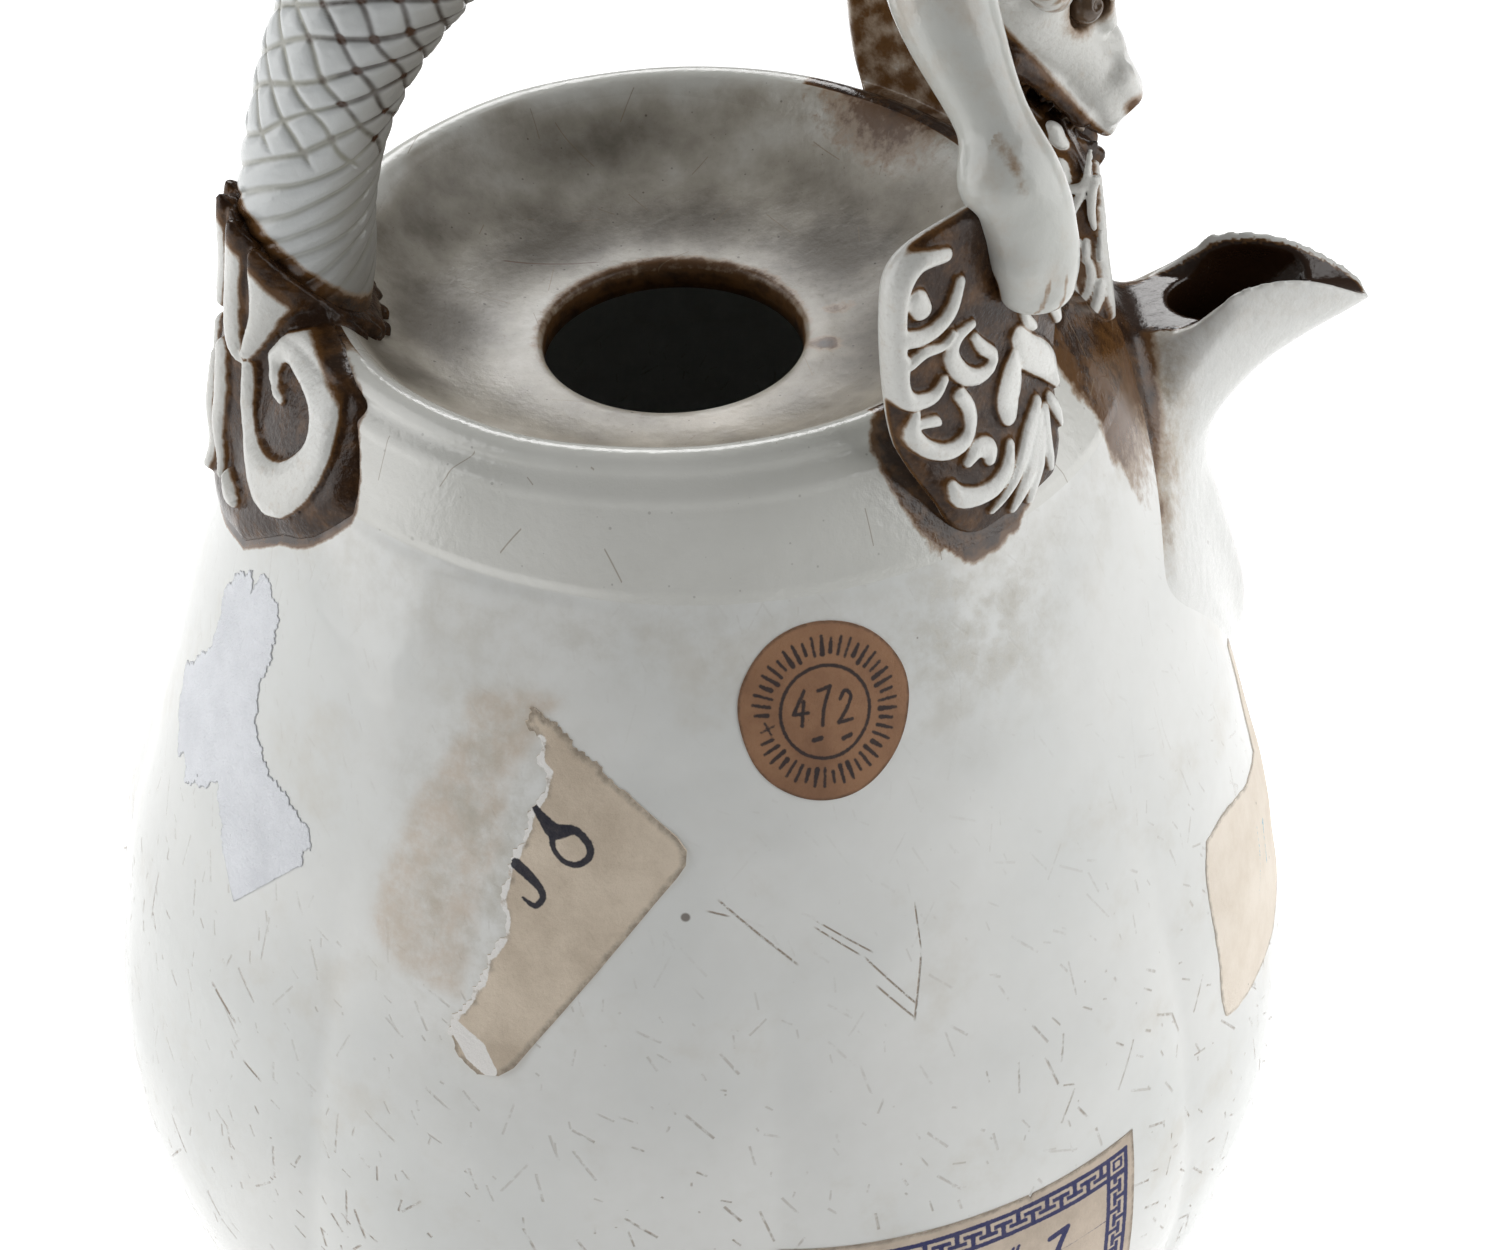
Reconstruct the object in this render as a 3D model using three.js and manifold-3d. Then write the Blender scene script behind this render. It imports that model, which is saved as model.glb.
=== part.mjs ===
// A porcelain ewer: a lobed body with a dished mouth, a beak spout on the shoulder and a bail handle
// shaped as a dragon, whose tail and forelegs end in relief plaques on the rim, with old paper labels.
// Millimetres, +Z up, spout along +X, origin on the ground under the middle of the outer box.

import * as THREE from "three";
import { mergeVertices } from "three/addons/utils/BufferGeometryUtils.js";
import Module from "manifold-3d";

const wasm = await Module();
wasm.setup();

const { lerp, smoothstep, degToRad } = THREE.MathUtils;

// The gap between pieces that meet on curved faces, and the reach of a cutting tool past what it cuts
const clearance = 0.3;
const overrun = 5;
const weld = 0.0005;

// Foot ring
const footRadius = 31;
const footHeight = 5;
const footWidth = 5;
const footBevel = 0.8;

// Body, in two halves that meet at the equator
const equatorRadius = 62.7;
const equatorHeight = 58;
const collarRadius = 41;
const collarHeight = 132.3;
const wall = 4;
const floorThickness = 6;
const turnSegments = 48;
const lowerRings = 8;
const upperRings = 10;
const lowerWallShares = [[0, 0], [0.2, 0.06], [0.42, 0.16], [0.64, 0.31], [0.83, 0.48], [0.95, 0.68]];
const upperWallShares = [[0, 0], [0.12, 0.24], [0.36, 0.48], [0.58, 0.67], [0.77, 0.83], [1, 1]];

// Shallow upright grooves that part the body into lobes
const lobes = 8;
const lobeDepth = 0.9;
const lobeFullHeight = 24;
const lobeFadeHeight = 76;
const lobeEndHeight = 112;

// Mouth: collar, rim and a dish round the filling hole, set a little off the body's axis and tilted
const rimRadius = 33.8;
const rimRise = 9.8;
const rimHeight = collarHeight + rimRise;
const holeRadius = 12.5;
const dishDepth = 9.9;
const dishThickness = 3.2;
const mouthShift = -1.9;
const mouthTilt = degToRad(1.9);
const collarShares = [[0, 0], [0.25, 0.33], [0.53, 0.64], [0.75, 0.86], [0.92, 0.98], [1, 1]];
const dishShares = [[0.11, 0.15], [0.25, 0.455], [0.44, 0.75], [0.65, 0.93], [0.81, 1], [0.915, 0.95]];
const lipShares = [[0.98, 1.01], [1, 1.14]];

// Spout: its front line leaves the body low, draws in to a throat and reaches out to the beak's tip
const spoutDepth = 26.2;
const spoutBackRise = 0.4;
const spoutHeight = 44.2;
const beakDrop = 1.8;
const beakBackDepth = 4.1;
const beakLift = 3.1;
const spoutSlump = 10;
const spoutRootHalf = 20;
const spoutNoseHalf = 9.5;
const spoutEmbed = 0.5;
const spoutSides = 12;
const beakPower = 3;
// For each level: its height share, its depth share before the body, its root's and its nose's width shares
const spoutShares = [
  [0, -0.025, 0.05, 0.12],
  [0.05, 0.049, 0.14, 0.25],
  [0.11, 0.093, 0.27, 0.38],
  [0.2, 0.119, 0.42, 0.52],
  [0.32, 0.121, 0.62, 0.72],
  [0.46, 0.119, 0.85, 0.9],
  [0.58, 0.128, 1, 1],
  [0.68, 0.217, 0.97, 0.92],
  [0.76, 0.406, 0.84, 0.8],
  [0.84, 0.632, 0.68, 0.73],
  [0.92, 0.83, 0.52, 0.74],
  [1, 1, 0.35, 0.79],
];

// Pouring channel: level ovals from above the beak down through the shoulder
const channelInset = 13;
const channelMouthRise = 5.3;
const channelRootInset = 7;
const channelDrop = 33;
const channelHalfLength = 7.6;
const channelHalfWidth = 3.9;
const channelSides = 20;
// For each oval: its shares of the way inward and down, and its length and width shares
const channelShares = [
  [0, 0, 1, 1],
  [0, 0.15, 0.97, 0.97],
  [0.125, 0.33, 0.68, 0.92],
  [0.32, 0.515, 0.45, 1],
  [0.475, 0.68, 0.5, 1.08],
  [0.7, 0.83, 0.58, 1.18],
  [1, 1, 0.66, 1.28],
];

// Handle: half an oval over the mouth, from the tail at the back to the neck behind the head
const handleReach = 36;
const handleRise = 46;
const tailRadius = 6.3;
const backRadius = 8;
const neckRadius = 6.6;
const tailSink = 14;
const tailLean = 2.4;
const neckAngle = degToRad(135);
const handleKnots = 12;
const handleSteps = 26;
const handleSides = 16;

// Forelegs: from the dragon's shoulders out and down to the rim
const nearLegAzimuth = degToRad(-53);
const farLegAzimuth = degToRad(39);
const legReach = 40;
const legRise = 42;
const legRadius = 5.4;
const legSteps = 14;
const legSides = 12;
// For each knot of a leg: its azimuth, reach and rise shares
const legKnotShares = [
  [0.45, 0.4, 1],
  [0.75, 0.54, 0.99],
  [0.95, 0.69, 0.82],
  [1, 0.84, 0.63],
  [1, 0.915, 0.43],
  [1, 0.97, 0.26],
];
const legRadiusShares = [0.95, 1, 0.92, 0.66, 0.72, 0.9, 0.55];

// Relief plaques that bed the legs, the beard and the tail on the rim; each rise and drop is from the rim
const plaqueEdge = 0.9;
const plaqueInset = 0.9;
const plaqueBulge = 0.9;
const nearPlaqueAzimuth = degToRad(-51.5);
const farPlaqueAzimuth = degToRad(39.5);
const legPlaqueWidth = 20.4;
const legPlaqueThickness = 4;
const legPlaqueFace = 39.8;
const legPlaqueRise = 19.9;
const legPlaqueDrop = 13.1;
const beardWidth = 17;
const beardFace = 40.5;
const beardRise = 6.5;
const tailPlaqueWidth = 33;
const tailPlaqueFace = 39.9;
const tailPlaqueRise = 8.4;
const tailPlaqueDrop = 23.6;
const tailPlaqueAzimuth = degToRad(186.5);
const tailPlaqueInner = 33.5;
const tailCover = 0.9;
const tailWingShare = 1 / 3;
// Outlines from the bottom up the right side: half-width and height shares
const legPlaqueShares = [
  [0, 0], [0.45, 0.03], [0.85, 0.13], [1, 0.3], [0.98, 0.5], [0.9, 0.7], [0.7, 0.88], [0.35, 1],
];
const beardShares = [[0, 0], [0.7, 0], [0.95, 0.1], [1, 0.45], [0.85, 0.8], [0.6, 1]];
const tailPlaqueShares = [
  [0, 0], [0.3, 0.02], [0.65, 0.12], [0.9, 0.28], [1, 0.42], [0.95, 0.68], [0.5, 0.78], [0.2, 1],
];

// Head, along the neck's direction at the handle's end
const headLength = 25.5;
const headWidth = 16;
const headHeight = 15;
const headSides = 16;
// For each section: its shares along, outward, half-width and half-height
const headShares = [
  [0, 0, 0.4, 0.43],
  [0.16, -0.04, 0.475, 0.46],
  [0.33, -0.08, 0.5, 0.43],
  [0.5, -0.09, 0.41, 0.345],
  [0.62, -0.09, 0.35, 0.28],
  [0.74, -0.09, 0.325, 0.245],
  [0.86, -0.11, 0.325, 0.2],
  [0.95, -0.13, 0.275, 0.14],
  [1, -0.15, 0.15, 0.06],
];
const jawShares = [
  [0.31, -0.51, 0.2, 0.08],
  [0.47, -0.57, 0.275, 0.12],
  [0.7, -0.58, 0.288, 0.12],
  [0.9, -0.55, 0.27, 0.113],
  [1.06, -0.48, 0.225, 0.1],
  [1.12, -0.43, 0.125, 0.053],
];
const tongueShares = [
  [0.56, -0.38, 0.1, 0.033],
  [0.7, -0.376, 0.15, 0.047],
  [0.86, -0.363, 0.14, 0.047],
  [0.98, -0.35, 0.075, 0.027],
];
const eyeRadius = 1.7;
const eyeShares = [0.47, 0.19, 0.28];
const eyeSegments = 12;
const hornRadius = 1.8;
const hornShares = [[0.26, 0.3, 0.2], [0, 0.52, 0.3], [-0.24, 0.6, 0.4], [-0.46, 0.59, 0.5]];
const hornTaperShares = [1, 0.8, 0.55, 0.3];
const earRadius = 2.2;
const earShares = [[0.3, 0.12, 0.42], [0.16, 0.16, 0.6], [-0.02, 0.22, 0.72]];
const earTaperShares = [1, 0.85, 0.25];
const trimSteps = 7;
const trimSides = 8;

// Paper labels: thin sheets that follow the body. The bordered one's drop is from the equator, the
// others' from the collar
const paperThickness = 0.3;
const roundLabelRadius = 7.8;
const roundLabelAzimuth = degToRad(-82.5);
const roundLabelDrop = 11.1;
const roundLabelPoints = 28;
const tornLabelWidth = 21.3;
const tornLabelLength = 35.3;
const tornLabelAzimuth = degToRad(-109.8);
const tornLabelDrop = 28.3;
const tornLabelShares = [
  [-0.21, 0.5], [0.46, 0.19], [0.44, 0.11], [-0.24, -0.46], [-0.38, -0.5], [-0.535, -0.41],
  [-0.515, -0.38], [-0.375, -0.18], [-0.3, -0.04], [-0.24, 0.085], [-0.18, 0.23], [-0.12, 0.33],
  [-0.27, 0.45],
];
const tapeWidth = 30.4;
const tapeLength = 30;
const tapeAzimuth = degToRad(-155);
const tapeDrop = 27.3;
const tapeShares = [
  [-0.28, 0.41], [-0.11, 0.49], [0.01, 0.48], [0.04, 0.22], [0.15, -0.04], [0.36, -0.09],
  [0.46, -0.19], [0.165, -0.51], [-0.05, -0.19], [-0.3, -0.33], [-0.535, -0.17],
];
const sideLabelWidth = 31.2;
const sideLabelLength = 29.5;
const sideLabelAzimuth = degToRad(-22);
const sideLabelDrop = 52.3;
const sideLabelShares = [
  [-0.525, -0.34], [-0.39, 0.315], [0.235, 0.17], [0.26, 0.41], [0.28, 0.59], [0.34, 0.57],
  [0.37, 0.27], [0.47, -0.37], [0, -0.41],
];
const borderedLabelWidth = 42;
const borderedLabelLength = 30;
const borderedLabelAzimuth = degToRad(-74.2);
const borderedLabelDrop = 4;
const borderedLabelShares = [[-0.5, 0.5], [0.5, 0.5], [0.5, -0.5], [-0.5, -0.5]];

const legPlaqueTop = rimHeight + legPlaqueRise;
const legPlaqueBottom = rimHeight - legPlaqueDrop;
const beardTop = rimHeight + beardRise;
const tailPlaqueTop = rimHeight + tailPlaqueRise;
const tailPlaqueBottom = rimHeight - tailPlaqueDrop;
const roundLabelHeight = collarHeight - roundLabelDrop;
const tornLabelHeight = collarHeight - tornLabelDrop;
const tapeHeight = collarHeight - tapeDrop;
const sideLabelHeight = collarHeight - sideLabelDrop;
const borderedLabelHeight = equatorHeight - borderedLabelDrop;

const colours = { glaze: 0xdcdedb, brownGlaze: 0xb4aaa0, card: 0xa4754f, cream: 0xe4d9c8, tape: 0xf3f4f6 };
const paperRoughness = 0.85;
const glazeRoughness = 0.2;

// A closed solid from loose triangles, with faces that collapsed at the axis left out
function solidFrom(geometry) {
  const bare = new THREE.BufferGeometry();
  bare.setAttribute("position", geometry.getAttribute("position"));
  bare.setIndex(geometry.getIndex());
  const merged = mergeVertices(bare, weld);
  const corners = merged.getIndex().array;
  const triangles = [];
  for (let i = 0; i < corners.length; i += 3) {
    const [a, b, c] = corners.slice(i, i + 3);
    if (a !== b && b !== c && a !== c) triangles.push(a, b, c);
  }
  const vertProperties = merged.getAttribute("position").array;
  const solidOf = (triVerts) => new wasm.Manifold(new wasm.Mesh({ numProp: 3, vertProperties, triVerts }));
  const solid = solidOf(new Uint32Array(triangles));
  if (solid.volume() > 0) return solid;
  return solidOf(new Uint32Array(triangles.map((_, i) => triangles[i - (i % 3) + [0, 2, 1][i % 3]])));
}

// The largest of the bodies that a cut leaves
function mainBody(solid) {
  return solid.decompose().reduce((best, body) => (body.volume() > best.volume() ? body : best));
}

// A body through rings of equally many points, closed by a fan over each end
function loft(rings) {
  const count = rings[0].length;
  const centre = (ring) => ring.reduce((sum, p) => sum.add(p), new THREE.Vector3()).divideScalar(count);
  const points = [...rings.flat(), centre(rings[0]), centre(rings.at(-1))];
  const firstHub = rings.length * count;
  const lastRing = firstHub - count;
  const faces = [];
  for (let j = 0; j < count; j++) {
    const k = (j + 1) % count;
    faces.push(firstHub, k, j, firstHub + 1, lastRing + j, lastRing + k);
    for (let row = 0; row < lastRing; row += count) {
      faces.push(row + j, row + k, row + count + k, row + j, row + count + k, row + count + j);
    }
  }
  return solidFrom(new THREE.BufferGeometry().setFromPoints(points).setIndex(faces));
}

// A round bar along a curve, whose radius runs through the given radii from end to end
function bar(curve, radii, steps, sides) {
  const frames = curve.computeFrenetFrames(steps);
  const ring = (i) => {
    const at = (i / steps) * (radii.length - 1);
    const knot = Math.min(Math.floor(at), radii.length - 2);
    const radius = lerp(radii[knot], radii[knot + 1], smoothstep(at - knot, 0, 1));
    return Array.from({ length: sides }, (_, j) => {
      const angle = (2 * Math.PI * j) / sides;
      return curve
        .getPointAt(i / steps)
        .addScaledVector(frames.normals[i], radius * Math.cos(angle))
        .addScaledVector(frames.binormals[i], radius * Math.sin(angle));
    });
  };
  return loft(Array.from({ length: steps + 1 }, (_, i) => ring(i)));
}

// A turned body from a profile of radius and height, bent by the given change of each point
function turned(profile, bend) {
  const geometry = new THREE.LatheGeometry(profile, turnSegments).rotateX(Math.PI / 2);
  const position = geometry.getAttribute("position");
  const p = new THREE.Vector3();
  for (let i = 0; i < position.count; i++) {
    bend(p.fromBufferAttribute(position, i));
    position.setXYZ(i, p.x, p.y, p.z);
  }
  return solidFrom(geometry);
}

// A straight prism over a flat outline, from one depth to another along its third axis
function prism(outline, from, to) {
  const shape = new THREE.Shape(outline);
  const geometry = new THREE.ExtrudeGeometry(shape, { depth: to - from, bevelEnabled: false });
  return solidFrom(geometry.translate(0, 0, from));
}

function mirroredOutline(shares, width, bottom, top) {
  const right = shares.map(([u, v]) => new THREE.Vector2((u * width) / 2, lerp(bottom, top, v)));
  const left = right.filter((p) => p.x > 0).map((p) => new THREE.Vector2(-p.x, p.y));
  return [...right, ...left.reverse()];
}

// Stands a flat outline upright on the circle round the body, facing outward at an azimuth
function standAt(solid, azimuth) {
  const face = new THREE.Matrix4().makeRotationX(Math.PI / 2);
  const out = new THREE.Matrix4().makeRotationZ(azimuth + Math.PI / 2);
  return solid.transform(out.multiply(face).toArray());
}

// Body outline

function wallPoints() {
  const lower = lowerWallShares.map(([u, v]) =>
    new THREE.Vector2(lerp(footRadius, equatorRadius, u), lerp(footHeight, equatorHeight, v)));
  const upper = upperWallShares.map(([u, v]) =>
    new THREE.Vector2(lerp(equatorRadius, collarRadius, u), lerp(equatorHeight, collarHeight, v)));
  return [...lower, ...upper];
}

const wallCurve = new THREE.SplineCurve(wallPoints());
const equatorAt = lowerWallShares.length / (lowerWallShares.length + upperWallShares.length - 1);

function wallBetween(from, to, count) {
  return Array.from({ length: count + 1 }, (_, i) => wallCurve.getPoint(lerp(from, to, i / count)));
}

const lowerWall = wallBetween(0, equatorAt, lowerRings);
const upperWall = wallBetween(equatorAt, 1, upperRings);
const collar = collarShares.map(([u, v]) =>
  new THREE.Vector2(lerp(collarRadius, rimRadius, u), lerp(collarHeight, rimHeight, v)));

// Moves each point of an open outline along its own normal, outward for a positive distance
function offsetOutline(points, distance) {
  return points.map((p, i) => {
    const before = points[Math.max(i - 1, 0)];
    const after = points[Math.min(i + 1, points.length - 1)];
    const along = after.clone().sub(before).normalize();
    return new THREE.Vector2(p.x + distance * along.y, p.y - distance * along.x);
  });
}

function bodyRadiusAt(height) {
  const outline = [...upperWall, ...collar.slice(1)];
  const i = Math.max(1, outline.findIndex((p) => p.y > height));
  const [a, b] = [outline[i - 1], outline[i]];
  return lerp(a.x, b.x, (height - a.y) / (b.y - a.y));
}

// Draws a point of the body in towards the axis where a groove between two lobes runs
function bendLobes(p) {
  const rise = smoothstep(p.z, footHeight, lobeFullHeight);
  const fall = 1 - smoothstep(p.z, lobeFadeHeight, lobeEndHeight);
  const groove = (1 - Math.abs(Math.sin((lobes / 2) * Math.atan2(p.y, p.x)))) ** 2;
  const factor = 1 - (lobeDepth / equatorRadius) * rise * fall * groove;
  p.x *= factor;
  p.y *= factor;
}

// Shifts and tilts the mouth, by nothing at the joint under the collar and fully at the rim
function bendMouth(p) {
  const radius = Math.hypot(p.x, p.y);
  const inside = radius < rimRadius + weld;
  const share = inside ? 1 : Math.min(Math.max((p.z - collarHeight) / (rimHeight - collarHeight), 0), 1);
  p.z += share * p.x * Math.tan(mouthTilt);
  p.x += share * mouthShift;
}

// The whole outside of body and mouth as one solid, grown by a distance, that shapes what lies on it
function bodyEnvelope(distance) {
  const wallOutline = offsetOutline([...lowerWall, ...upperWall.slice(1)], distance);
  const low = turned(
    [new THREE.Vector2(0, footHeight), ...wallOutline, new THREE.Vector2(0, wallOutline.at(-1).y)],
    bendLobes,
  );
  const top = offsetOutline([upperWall.at(-2), ...collar], distance).slice(1);
  const dish = dishOutline().map((p) => new THREE.Vector2(p.x, p.y + distance));
  const high = turned(
    [
      new THREE.Vector2(0, collarHeight - overrun),
      new THREE.Vector2(top[0].x, collarHeight - overrun),
      ...top,
      ...dish,
      new THREE.Vector2(0, dish.at(-1).y),
    ],
    bendMouth,
  );
  return low.add(high);
}

function dishOutline() {
  return dishShares.map(([u, v]) =>
    new THREE.Vector2(lerp(rimRadius, holeRadius, u), rimHeight - dishDepth * v));
}

function footRing() {
  const inner = footRadius - footWidth;
  const profile = [
    [inner + footBevel, 0],
    [footRadius - footBevel, 0],
    [footRadius, footBevel],
    [footRadius, footHeight],
    [inner, footHeight],
    [inner, footBevel],
    [inner + footBevel, 0],
  ];
  return turned(profile.map(([r, z]) => new THREE.Vector2(r, z)), () => {});
}

function lowerBody() {
  const floorTop = footHeight + floorThickness;
  const inner = offsetOutline(lowerWall, -wall).filter((p) => p.y > floorTop + wall / 2);
  return turned(
    [
      new THREE.Vector2(0, footHeight),
      ...lowerWall,
      new THREE.Vector2(equatorRadius - wall, equatorHeight),
      ...inner.slice(0, -1).reverse(),
      new THREE.Vector2(inner[0].x - wall, floorTop),
      new THREE.Vector2(0, floorTop),
    ],
    bendLobes,
  );
}

function upperBody() {
  const inner = offsetOutline(upperWall, -wall).slice(1, -1);
  const start = new THREE.Vector2(equatorRadius - wall, equatorHeight);
  const shell = turned(
    [start, ...upperWall, new THREE.Vector2(collarRadius - wall, collarHeight), ...inner.reverse(), start],
    bendLobes,
  );
  return shell.subtract(pouringChannel());
}

function mouthDish() {
  const dish = dishOutline();
  const lip = lipShares.map(([u, v]) =>
    new THREE.Vector2(lerp(rimRadius, holeRadius, u), rimHeight - dishDepth * v));
  const under = dish.slice(1, -1).map((p) => new THREE.Vector2(p.x, p.y - dishThickness));
  const start = new THREE.Vector2(collarRadius - wall, collarHeight);
  const holeFoot = new THREE.Vector2(holeRadius, under.at(-1).y);
  return turned([start, ...collar, ...dish, ...lip, holeFoot, ...under.reverse(), start], bendMouth);
}

const spoutBackHeight = collarHeight + spoutBackRise;
const spoutFootHeight = spoutBackHeight - spoutHeight;
const spoutRootRadius = bodyRadiusAt(spoutBackHeight);
const spoutReach = spoutRootRadius + spoutDepth;
const channelMouthRadius = spoutReach - channelInset;

// The height of the beak's edge at a distance from the body's axis
function beakEdgeHeight(x) {
  const u = Math.min(Math.max((x - spoutRootRadius - beakBackDepth) / (spoutDepth - beakBackDepth), 0), 1);
  return spoutBackHeight - beakDrop * u * u + beakLift * Math.sin(Math.PI * u);
}

const bell = (s) => 1 / (1 + Math.abs(s) ** beakPower);

function spoutRing([level, depthShare, rootShare, noseShare]) {
  const bodyRadius = bodyRadiusAt(lerp(spoutFootHeight, spoutBackHeight, level));
  const depth = spoutDepth * depthShare + spoutEmbed;
  const root = spoutRootHalf * rootShare;
  const nose = spoutNoseHalf * noseShare;
  return Array.from({ length: 2 * spoutSides + 1 }, (_, i) => {
    const side = (i - spoutSides) / spoutSides;
    const y = Math.sign(side) * root * Math.abs(side) ** (3 / 2);
    const edge = bell(root / nose);
    const swell = (bell(y / nose) - edge) / (1 - edge);
    const base = Math.sqrt(bodyRadius ** 2 - y ** 2) - spoutEmbed;
    const x = base + depth * swell;
    const beside = Math.min(1, Math.max(0, (channelMouthRadius - x) / (channelMouthRadius - collarRadius)));
    const top = beakEdgeHeight(x) - spoutSlump * (beside * side) ** 2;
    return new THREE.Vector3(x, y, lerp(spoutFootHeight, top, level));
  });
}

function pouringChannel() {
  const rings = channelShares.map(([inward, down, long, wide]) =>
    Array.from({ length: channelSides }, (_, i) => {
      const angle = (2 * Math.PI * i) / channelSides;
      const middle = lerp(channelMouthRadius, collarRadius - channelRootInset, inward);
      return new THREE.Vector3(
        middle + channelHalfLength * long * Math.cos(angle),
        channelHalfWidth * wide * Math.sin(angle),
        spoutBackHeight + channelMouthRise - channelDrop * down,
      );
    }));
  return loft(rings);
}

function spout() {
  const solid = loft(spoutShares.map(spoutRing));
  return mainBody(solid.subtract(pouringChannel()).subtract(bodyEnvelope(clearance)));
}

// Handle and dragon

function handlePoint(angle) {
  return new THREE.Vector3(-handleReach * Math.cos(angle), 0, rimHeight + handleRise * Math.sin(angle));
}

function handleBar(grow) {
  const foot = new THREE.Vector3(-handleReach - tailLean, 0, rimHeight - tailSink);
  const arch = Array.from({ length: handleKnots + 1 }, (_, i) => handlePoint((neckAngle * i) / handleKnots));
  const curve = new THREE.CatmullRomCurve3([foot, ...arch]);
  const radii = [tailRadius, tailRadius, backRadius, backRadius, neckRadius].map((r) => r + grow);
  return bar(curve, radii, handleSteps, handleSides);
}

function handleBody() {
  return mainBody(handleBar(0).subtract(bodyEnvelope(clearance)));
}

function legBar(azimuth, grow) {
  const knots = legKnotShares.map(([turn, out, up]) => {
    const at = azimuth * turn;
    const reach = legReach * out;
    return new THREE.Vector3(reach * Math.cos(at), reach * Math.sin(at), rimHeight + legRise * up);
  });
  const radii = legRadiusShares.map((share) => legRadius * share + grow);
  return bar(new THREE.CatmullRomCurve3(knots), radii, legSteps, legSides);
}

function foreleg(azimuth) {
  return mainBody(legBar(azimuth, 0).subtract(handleBar(clearance)));
}

// A ring that rises from a thin edge on the body to an upright face round the mouth
function plaqueRing(bottom, top, face, core) {
  const edge = bodyRadiusAt(bottom) + clearance + plaqueEdge;
  const profile = [
    [core, bottom],
    [edge, bottom],
    [lerp(edge, face, 1 / 2) + plaqueBulge, lerp(bottom, rimHeight, 1 / 2)],
    [face, rimHeight],
    [face - plaqueInset, top],
    [core, top],
    [core, bottom],
  ];
  return turned(profile.map(([r, z]) => new THREE.Vector2(r, z)), bendMouth);
}

function upright(outline, azimuth) {
  return standAt(prism(outline, 0, equatorRadius), azimuth);
}

function legPlaque(azimuth, legAzimuth) {
  const outline = mirroredOutline(legPlaqueShares, legPlaqueWidth, legPlaqueBottom, legPlaqueTop);
  const core = legPlaqueFace - legPlaqueThickness;
  const ring = plaqueRing(legPlaqueBottom, legPlaqueTop, legPlaqueFace, core);
  const plate = ring.intersect(upright(outline, azimuth));
  return mainBody(plate.subtract(bodyEnvelope(clearance)).subtract(legBar(legAzimuth, clearance)));
}

function beardPlaque() {
  const bottom = spoutBackHeight + clearance;
  const outline = mirroredOutline(beardShares, beardWidth, bottom, beardTop);
  const ring = plaqueRing(bottom, beardTop, beardFace, rimRadius - plaqueInset);
  const plate = ring.intersect(upright(outline, 0));
  return mainBody(
    plate.subtract(bodyEnvelope(clearance)).subtract(jawLoft(clearance)).subtract(headLoft(clearance)),
  );
}

// The tail plaque wraps the outer side of the tail and leaves its inner side bare
function tailPlaque() {
  const outline = mirroredOutline(tailPlaqueShares, tailPlaqueWidth, tailPlaqueBottom, tailPlaqueTop);
  const core = rimRadius - plaqueInset;
  const ring = plaqueRing(tailPlaqueBottom, tailPlaqueTop, tailPlaqueFace, core);
  const wingTop = lerp(rimHeight, tailPlaqueTop, tailWingShare);
  const wingOutline = outline.map((p) => new THREE.Vector2(p.x, Math.min(p.y, wingTop)));
  const wings = ring.intersect(upright(wingOutline, tailPlaqueAzimuth));
  const wrap = handleBar(tailCover + clearance).intersect(upright(outline, Math.PI));
  const slope = [
    [-equatorRadius, tailPlaqueBottom - overrun],
    [-tailPlaqueInner, tailPlaqueBottom - overrun],
    [-tailPlaqueInner, rimHeight - clearance],
    [-handleReach - tailRadius, tailPlaqueTop],
    [-equatorRadius, tailPlaqueTop + overrun],
  ].map(([x, z]) => new THREE.Vector2(x, z));
  const side = prism(slope, -tailPlaqueWidth, tailPlaqueWidth).transform(
    new THREE.Matrix4().makeRotationX(Math.PI / 2).toArray(),
  );
  return mainBody(
    wings.add(wrap).intersect(side).subtract(bodyEnvelope(clearance)).subtract(handleBar(clearance)),
  );
}

const neckEnd = handlePoint(neckAngle);
const neckSlope = [handleReach * Math.sin(neckAngle), handleRise * Math.cos(neckAngle)];
const headAlong = new THREE.Vector3(neckSlope[0], 0, neckSlope[1]).normalize();
const headOut = new THREE.Vector3(-headAlong.z, 0, headAlong.x);
const headSide = new THREE.Vector3(0, 1, 0);

function headPoint(along, out, side) {
  return neckEnd
    .clone()
    .addScaledVector(headAlong, along)
    .addScaledVector(headOut, out)
    .addScaledVector(headSide, side);
}

// A body through oval sections across the head's direction, grown by a distance
function sectionLoft(shares, grow) {
  return loft(shares.map(([along, out, wide, high], i) => {
    const end = i === 0 ? -grow : i === shares.length - 1 ? grow : 0;
    return Array.from({ length: headSides }, (_, j) => {
      const angle = (2 * Math.PI * j) / headSides;
      return headPoint(
        headLength * along + end + clearance,
        headHeight * out + (headHeight * high + grow) * Math.sin(angle),
        (headWidth * wide + grow) * Math.cos(angle),
      );
    });
  }));
}

const headLoft = (grow) => sectionLoft(headShares, grow);
const jawLoft = (grow) => sectionLoft(jawShares, grow);

function eyeBall(side, grow) {
  const [along, out, wide] = eyeShares;
  const place = headPoint(headLength * along, headHeight * out, side * headWidth * wide);
  const ball = new THREE.SphereGeometry(eyeRadius + grow, eyeSegments, eyeSegments / 2);
  return solidFrom(ball.translate(place.x, place.y, place.z));
}

function headTrim(shares, taperShares, radius, side) {
  const knots = shares.map(([along, out, wide]) =>
    headPoint(headLength * along, headHeight * out, side * headWidth * wide));
  const radii = taperShares.map((share) => radius * share);
  const trim = bar(new THREE.CatmullRomCurve3(knots), radii, trimSteps, trimSides);
  return mainBody(trim.subtract(headLoft(clearance)).subtract(handleBar(clearance)));
}

function dragonHead() {
  const skull = headLoft(0).subtract(handleBar(clearance));
  return mainBody(skull.subtract(eyeBall(1, clearance)).subtract(eyeBall(-1, clearance)));
}

function lowerJaw() {
  return mainBody(jawLoft(0).subtract(headLoft(clearance)));
}

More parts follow.
